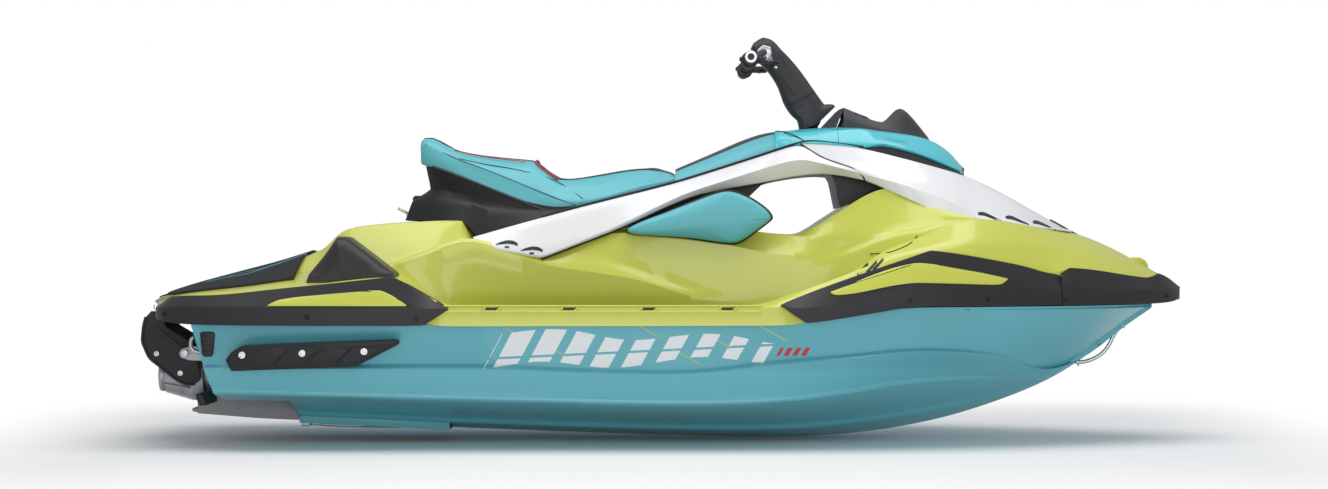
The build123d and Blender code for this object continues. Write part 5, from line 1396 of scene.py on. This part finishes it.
bucket_black = grained("bucket_black", (0.026, 0.026, 0.028), 0.5, 900.0, 0.0006)
pivot_x, pivot_z = -1433, 41
cheek = ((-1536, 168), (-1552, 150), (-1559, 128), (-1561, 104), (-1564, 77), (-1554, 54), (-1542, 26), (-1516, 7),
         (-1498, -8), (-1469, -32), (-1451, -44), (-1434, -51), (-1418, -53), (-1404, -50), (-1394, -44), (-1387, -32),
         (-1392, 0), (-1405, 60), (-1420, 76), (-1440, 90), (-1490, 120), (-1498, 138), (-1500, 160), (-1508, 166))
shell_arc = ((-1510, 167), (-1534, 168), (-1549, 156), (-1558, 128), (-1561, 104), (-1564, 77), (-1561, 70))
for word, side in sides_of_craft:
    plate(f"bucket_cheek_{word}", upright(side * 111.5, cheek), (0, -side * 7, 0), bucket_black,
          body="reverse_bucket", edge=2, slot="black_plastic")
    rod(f"bucket_rim_{word}", upright(side * 111.5, cheek[1:14]), 4.4, bucket_black, body="reverse_bucket",
        slot="black_plastic", sides=8)
    rib = upright(side * 112, ((pivot_x - 16, 52), (pivot_x - 8, 60), (-1528, 128), (-1536, 118)))
    plate(f"bucket_rib_{word}", rib, (0, side * 3.5, 0), bucket_black, body="reverse_bucket", edge=1.2,
          slot="black_plastic")
    for i, (x, z) in enumerate(((-1519, 40), (-1448, -18)), 1):
        disc(f"bucket_bolt_{word}_{i}", (x, side * 111, z), (0, side, 0), 9, 6, stainless, body="reverse_bucket",
             dish=2, slot="stainless")
    turned(f"bucket_pivot_{word}", (pivot_x, side * 108, pivot_z), (0, side, 0),
           ((8.2, 0), (17, 0), (17, 5), (15, 6.5), (8.2, 6.5)), bucket_black, body="reverse_bucket",
           slot="black_plastic")
    # the arm that carries it
    plate(f"bucket_arm_{word}", [(-1300, side * 117, 16), (-1418, side * 117, 20), (-1444, side * 117, 28),
                                 (-1451, side * 117, 41), (-1444, side * 117, 55), (-1420, side * 117, 63),
                                 (-1380, side * 117, 64), (-1312, side * 117, 92)], (0, side * 10, 0), cast_grey,
          edge=2, slot="cast_aluminium")
    disc(f"arm_pivot_{word}", (pivot_x, side * 127, pivot_z), (0, side, 0), 12, 6, stainless, dish=2,
         slot="stainless")
    plate(f"arm_foot_{word}", [(-1306, side * 100, 6), (-1306, side * 152, 6), (-1316, side * 152, 100),
                               (-1316, side * 100, 100)], (-9, 0, 0), cast_grey, edge=2, slot="cast_aluminium")
    for i, z in enumerate((22, 84)):
        disc(f"arm_bolt_{word}_{i}", (-1316 - 0.1 * z, side * 140, z), (-1, 0, 0), 7, 5, stainless, dish=1.5,
             sides=18, slot="stainless")
skin("bucket_back", [[(x, y, z) for x, z in shell_arc] for y in (-106, -60, 0, 60, 106)], bucket_black,
     body="reverse_bucket", thick=5, facing=(-1, 0, 0), level=1, cross={0: 1, 6: 1}, slot="black_plastic",
     replaces=("bucket",))
for i, y in enumerate((-70, -23, 23, 70)):
    back = [(x - 1.2, y - 2.5, z) for x, z in shell_arc[2:6]] + [(-1554, y - 2.5, 78), (-1550, y - 2.5, 128)]
    plate(f"bucket_back_rib_{i}", back, (0, 5, 0), bucket_black, body="reverse_bucket", edge=0.8,
          slot="black_plastic")
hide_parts("bucket_arms")

# ride plate with its side skirts and bolts
plate("ride_plate_sheet", [(-1412, -118, -132), (-1390, -150, -134), (-1088, -150, -152), (-1088, 150, -152),
                           (-1390, 150, -134), (-1412, 118, -132)], (0, 0, 10), plate_grey, edge=3,
      slot="cast_aluminium", replaces=("ride_plate",))
for side in (-1, 1):
    skirt = ((-1390, -104), (-1378, -90), (-1092, -90), (-1088, -100), (-1088, -156), (-1200, -151), (-1390, -136))
    plate(f"ride_plate_skirt_{side + 1}", upright(side * 152, skirt), (0, -side * 7, 0), plate_grey, edge=2,
          slot="cast_aluminium")
    for i, x in enumerate((-1370, -1250, -1130)):
        disc(f"ride_plate_bolt_{side + 1}_{i}", (x, side * 98, -134 - 0.06 * (x + 1390)), (0, 0, -1), 8, 5,
             stainless, dish=2, sides=18, slot="stainless")

# intake grate: a frame with round bars over the tunnel's mouth
plate("grate_rear_bar", [(-1084, -tunnel_half, -176), (-1084, tunnel_half, -176), (-1058, tunnel_half, -176),
                         (-1058, -tunnel_half, -176)], (0, 0, 14), cast_grey, edge=3, slot="stainless",
      replaces=("intake_grate",))
plate("grate_front_bar", [(-706, -tunnel_half, -182), (-706, tunnel_half, -182), (-676, tunnel_half, -184),
                          (-676, -tunnel_half, -184)], (0, 0, 12), cast_grey, edge=3, slot="stainless")
for i in range(7):
    y = -105 + 35 * i
    rod(f"grate_rod_{i}", [(-1070, y, -168), (-1000, y, -174), (-820, y, -178), (-690, y, -178)], 5, stainless,
        slot="stainless", sides=8)

# two glands on the transom, and the steering cable out of the port one
for i, (y, z) in enumerate(((-96, 66), (92, 40))):
    gland_x = transom_x(z)
    turned(f"transom_gland_{i}", (gland_x + 2, y, z), (-1, 0, 0),
           ((0, 0), (17, 0), (17, 6), (11, 9), (10, 22), (6, 24)), black, slot="black_plastic")
    if i:
        rod(f"steer_cable_{i}", [(gland_x - 20, y, z), (gland_x - 44, y + 1, z - 16), (-1385, 95, -10)], 4.5, black,
            slot="black_rubber", sides=8)
plate("transom_duct", [(-1319, -470, 60), (-1341, -470, 118), (-1352, -470, 116), (-1330, -470, 57)], (0, 40, 0),
      black, edge=3, slot="black_plastic")
for word, side in sides_of_craft:
    # rubber vent box wrapped round the corner of the transom
    box = ((-1323, 113), (-1317, 118), (-1286, 118), (-1280, 111), (-1287, 52), (-1293, 47), (-1311, 47), (-1317, 53))
    plate(f"corner_vent_{word}", upright(side * 495, box), (0, -side * 30, 0), black, edge=3, slot="black_plastic")
    for i in range(4):
        rib = ((-1316 + i, 101), (-1288 - i, 104), (-1288 - i, 98), (-1316 + i, 95))
        plate(f"corner_vent_rib_{word}_{i}", [(x, side * 495, z - 14 * i) for x, z in rib], (0, side * 2.5, 0),
              charcoal, edge=1, slot="bumper_rubber")
    plate(f"transom_tab_{word}", [(-1315, side * 420, -96), (-1330, side * 420, -62), (-1350, side * 420, -64),
                                  (-1338, side * 420, -98)], (0, -side * 190, 0), black, edge=4, slot="black_plastic")

# ------------------------------------------------------------------ towing eyes
# Bent stainless rod: an eye under the bow for a trailer's strap, and a U-bolt
# through the transom.

rod("bow_eye_rod", [(1396, 0, 132), (1366, 0, 96), (1354, 0, 64), (1333, 0, 36), (1298, 0, 16), (1262, 0, 8),
                    (1246, 0, 12)], 6, stainless, slot="stainless")
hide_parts("bow_eye")
for i, (x, z, lean) in enumerate(((1392, 124, 1.2), (1258, 12, 0.4))):
    turned(f"bow_eye_washer_{i}", (x - 3, 0, z), (-1, 0, -lean), ((6, 0), (15, 0), (15, 3), (13, 4), (6, 4)),
           stainless, slot="stainless")
plate("stern_eye_base", [(-1318, -280, 40), (-1318, -222, 40), (-1346, -222, 112), (-1346, -280, 112)], (-5, 0, -1),
      stainless, edge=2, slot="stainless", replaces=("stern_eye",))
rod("stern_eye_rod", [(-1322, -250, 50), (-1368, -250, 48), (-1390, -250, 58), (-1394, -250, 76), (-1388, -250, 94),
                      (-1370, -250, 102), (-1340, -250, 100)], 6, stainless, slot="stainless")

# ------------------------------------------------------------------ small fittings
# Screws in the bumpers, the moulded hook at the tip of the foredeck, dark slots
# and a groove in the deck's ridge, and a stainless bolt in each quarter.

# painted shade: the bumper screws are near-black dished discs, darker than the rubber, for the shade in their hollows
hollow = Finish("screw_hollow", (0.008, 0.008, 0.009), 0.7)
hollow.paint(roughness=0.6 + 0.2 * hollow.noise(90.0))
screw_hollow_shade = hollow.bump(hollow.noise(600.0), 0.0002, 0.2)
for word, side in sides_of_craft:
    for i, (path, x, z) in enumerate(((nose, 1168, 207), (nose, 1508, 214), (bow_flank, 700, 208),
                                      (bow_flank, 930, 210), (quarter, -1432, 168), (quarter, -1010, 162),
                                      (quarter, -700, 158))):
        near, far = (np.interp(x + step, *zip(*sorted(p[:2] for p in path))) for step in (0, 20))
        disc(f"bumper_screw_{word}_{i}", (x, side * (near - 1), z), (near - far, side * 20, 0), 8, 2.5, screw_hollow_shade,
             dish=1.8, sides=18, slot="black_plastic")
plate("bow_hook", [(1404, -6, 322), (1425, -6, 329), (1446, -6, 328), (1462, -6, 318), (1470, -6, 304),
                   (1468, -6, 298), (1460, -6, 299), (1448, -6, 308), (1430, -6, 311), (1404, -6, 306)], (0, 12, 0),
      deck_lime, edge=3, slot="deck_gelcoat")
find = side_of(deck)
for word, side in sides_of_craft:
    # painted shade: the ridge's slots are black plates and its groove a black rod
    for i, (x, z) in enumerate(((567, 296), (592, 302), (611, 309))):
        slit(f"ridge_slot_{word}_{i}", [(x - 16, z - 16, 9), (x, z - 1, 11), (x + 17, z + 16, 9)], find, side,
             black, 0.6)
    groove = [find(x, z, side, 0.3) for x, z in ((604, 339), (630, 341), (652, 345), (676, 354), (702, 365),
                                                  (722, 378), (738, 392))]
    rod(f"ridge_groove_{word}", groove, 1.8, black_and_painted_shade.material, slot="deck_gelcoat", sides=8)
    disc(f"quarter_bolt_{word}", (-1474, side * 372, 186), (-1, side * 0.2, 0), 7, 4, stainless, dish=1.5, sides=18,
         slot="stainless")

# ------------------------------------------------------------------ stage
# White studio: soft light from above and from the camera's side, and a pale
# floor just under the keel that keeps the craft's shadow.

world = bpy.data.worlds.new("studio")
bpy.context.scene.world = world
world.use_nodes = True
sky = world.node_tree
ambient = sky.nodes["Background"]
ambient.inputs["Color"].default_value = (0.94, 0.97, 1.0, 1)
ambient.inputs["Strength"].default_value = 0.46
plain = sky.nodes.new("ShaderNodeBackground")
plain.inputs["Color"].default_value = (1, 1, 1, 1)
seen = sky.nodes.new("ShaderNodeLightPath")
choose = sky.nodes.new("ShaderNodeMixShader")
sky.links.new(seen.outputs["Is Camera Ray"], choose.inputs[0])
sky.links.new(ambient.outputs[0], choose.inputs[1])
sky.links.new(plain.outputs[0], choose.inputs[2])
sky.links.new(choose.outputs[0], sky.nodes["World Output"].inputs["Surface"])


def lamp(name, place, aim, size, power):
    """A rectangular soft box that looks at a point."""
    light = bpy.data.lights.new(name, "AREA")
    light.shape = "RECTANGLE"
    light.size, light.size_y = size
    light.energy = power
    holder = bpy.data.objects.new(name, light)
    holder.location = place
    holder.rotation_euler = (Vector(aim) - Vector(place)).to_track_quat("-Z", "Y").to_euler()
    bpy.context.scene.collection.objects.link(holder)


lamp("top_softbox", (0.1, -0.7, 3.2), (0, -0.1, 0.2), (4.6, 2.2), 80)
lamp("front_softbox", (0.4, -6.5, 1.6), (0, 0, 0.2), (5.0, 1.8), 60)
lamp("low_softbox", (0, -3.4, -0.06), (0, 0, -0.02), (4.4, 0.26), 11)

floor_z = cad_box[0][2] - 0.004
paper = Finish("studio_paper", (0.93, 0.93, 0.93), 0.9)
paper.paint(paper.mix(paper.noise(2.0), (0.92, 0.92, 0.92), (0.95, 0.95, 0.95)))
reach = abs(paper.axis("X")).step(1.5, 2.3)
reach = 1 - (1 - reach) * (1 - abs(paper.axis("Y")).step(0.8, 2.2))
paper.join(1 - reach, paper.surface["Alpha"])
floor_corners = [(x, y, floor_z * 1000) for x, y in ((-9000, -7000), (9000, -7000), (9000, 9000), (-9000, 9000))]
floor = bpy.data.objects.new("floor", sheet_mesh("floor", [floor_corners], paper.material))
bpy.context.scene.collection.objects.link(floor)

camera = bpy.data.cameras.new("camera")
camera.lens = 71.4
camera.sensor_width = 36
viewer = bpy.data.objects.new("camera", camera)
viewer.location = (0, -8, 0.367)
viewer.rotation_euler = (math.radians(90), 0, 0)
bpy.context.scene.collection.objects.link(viewer)
bpy.context.scene.camera = viewer
bpy.context.scene.view_settings.view_transform = "Standard"
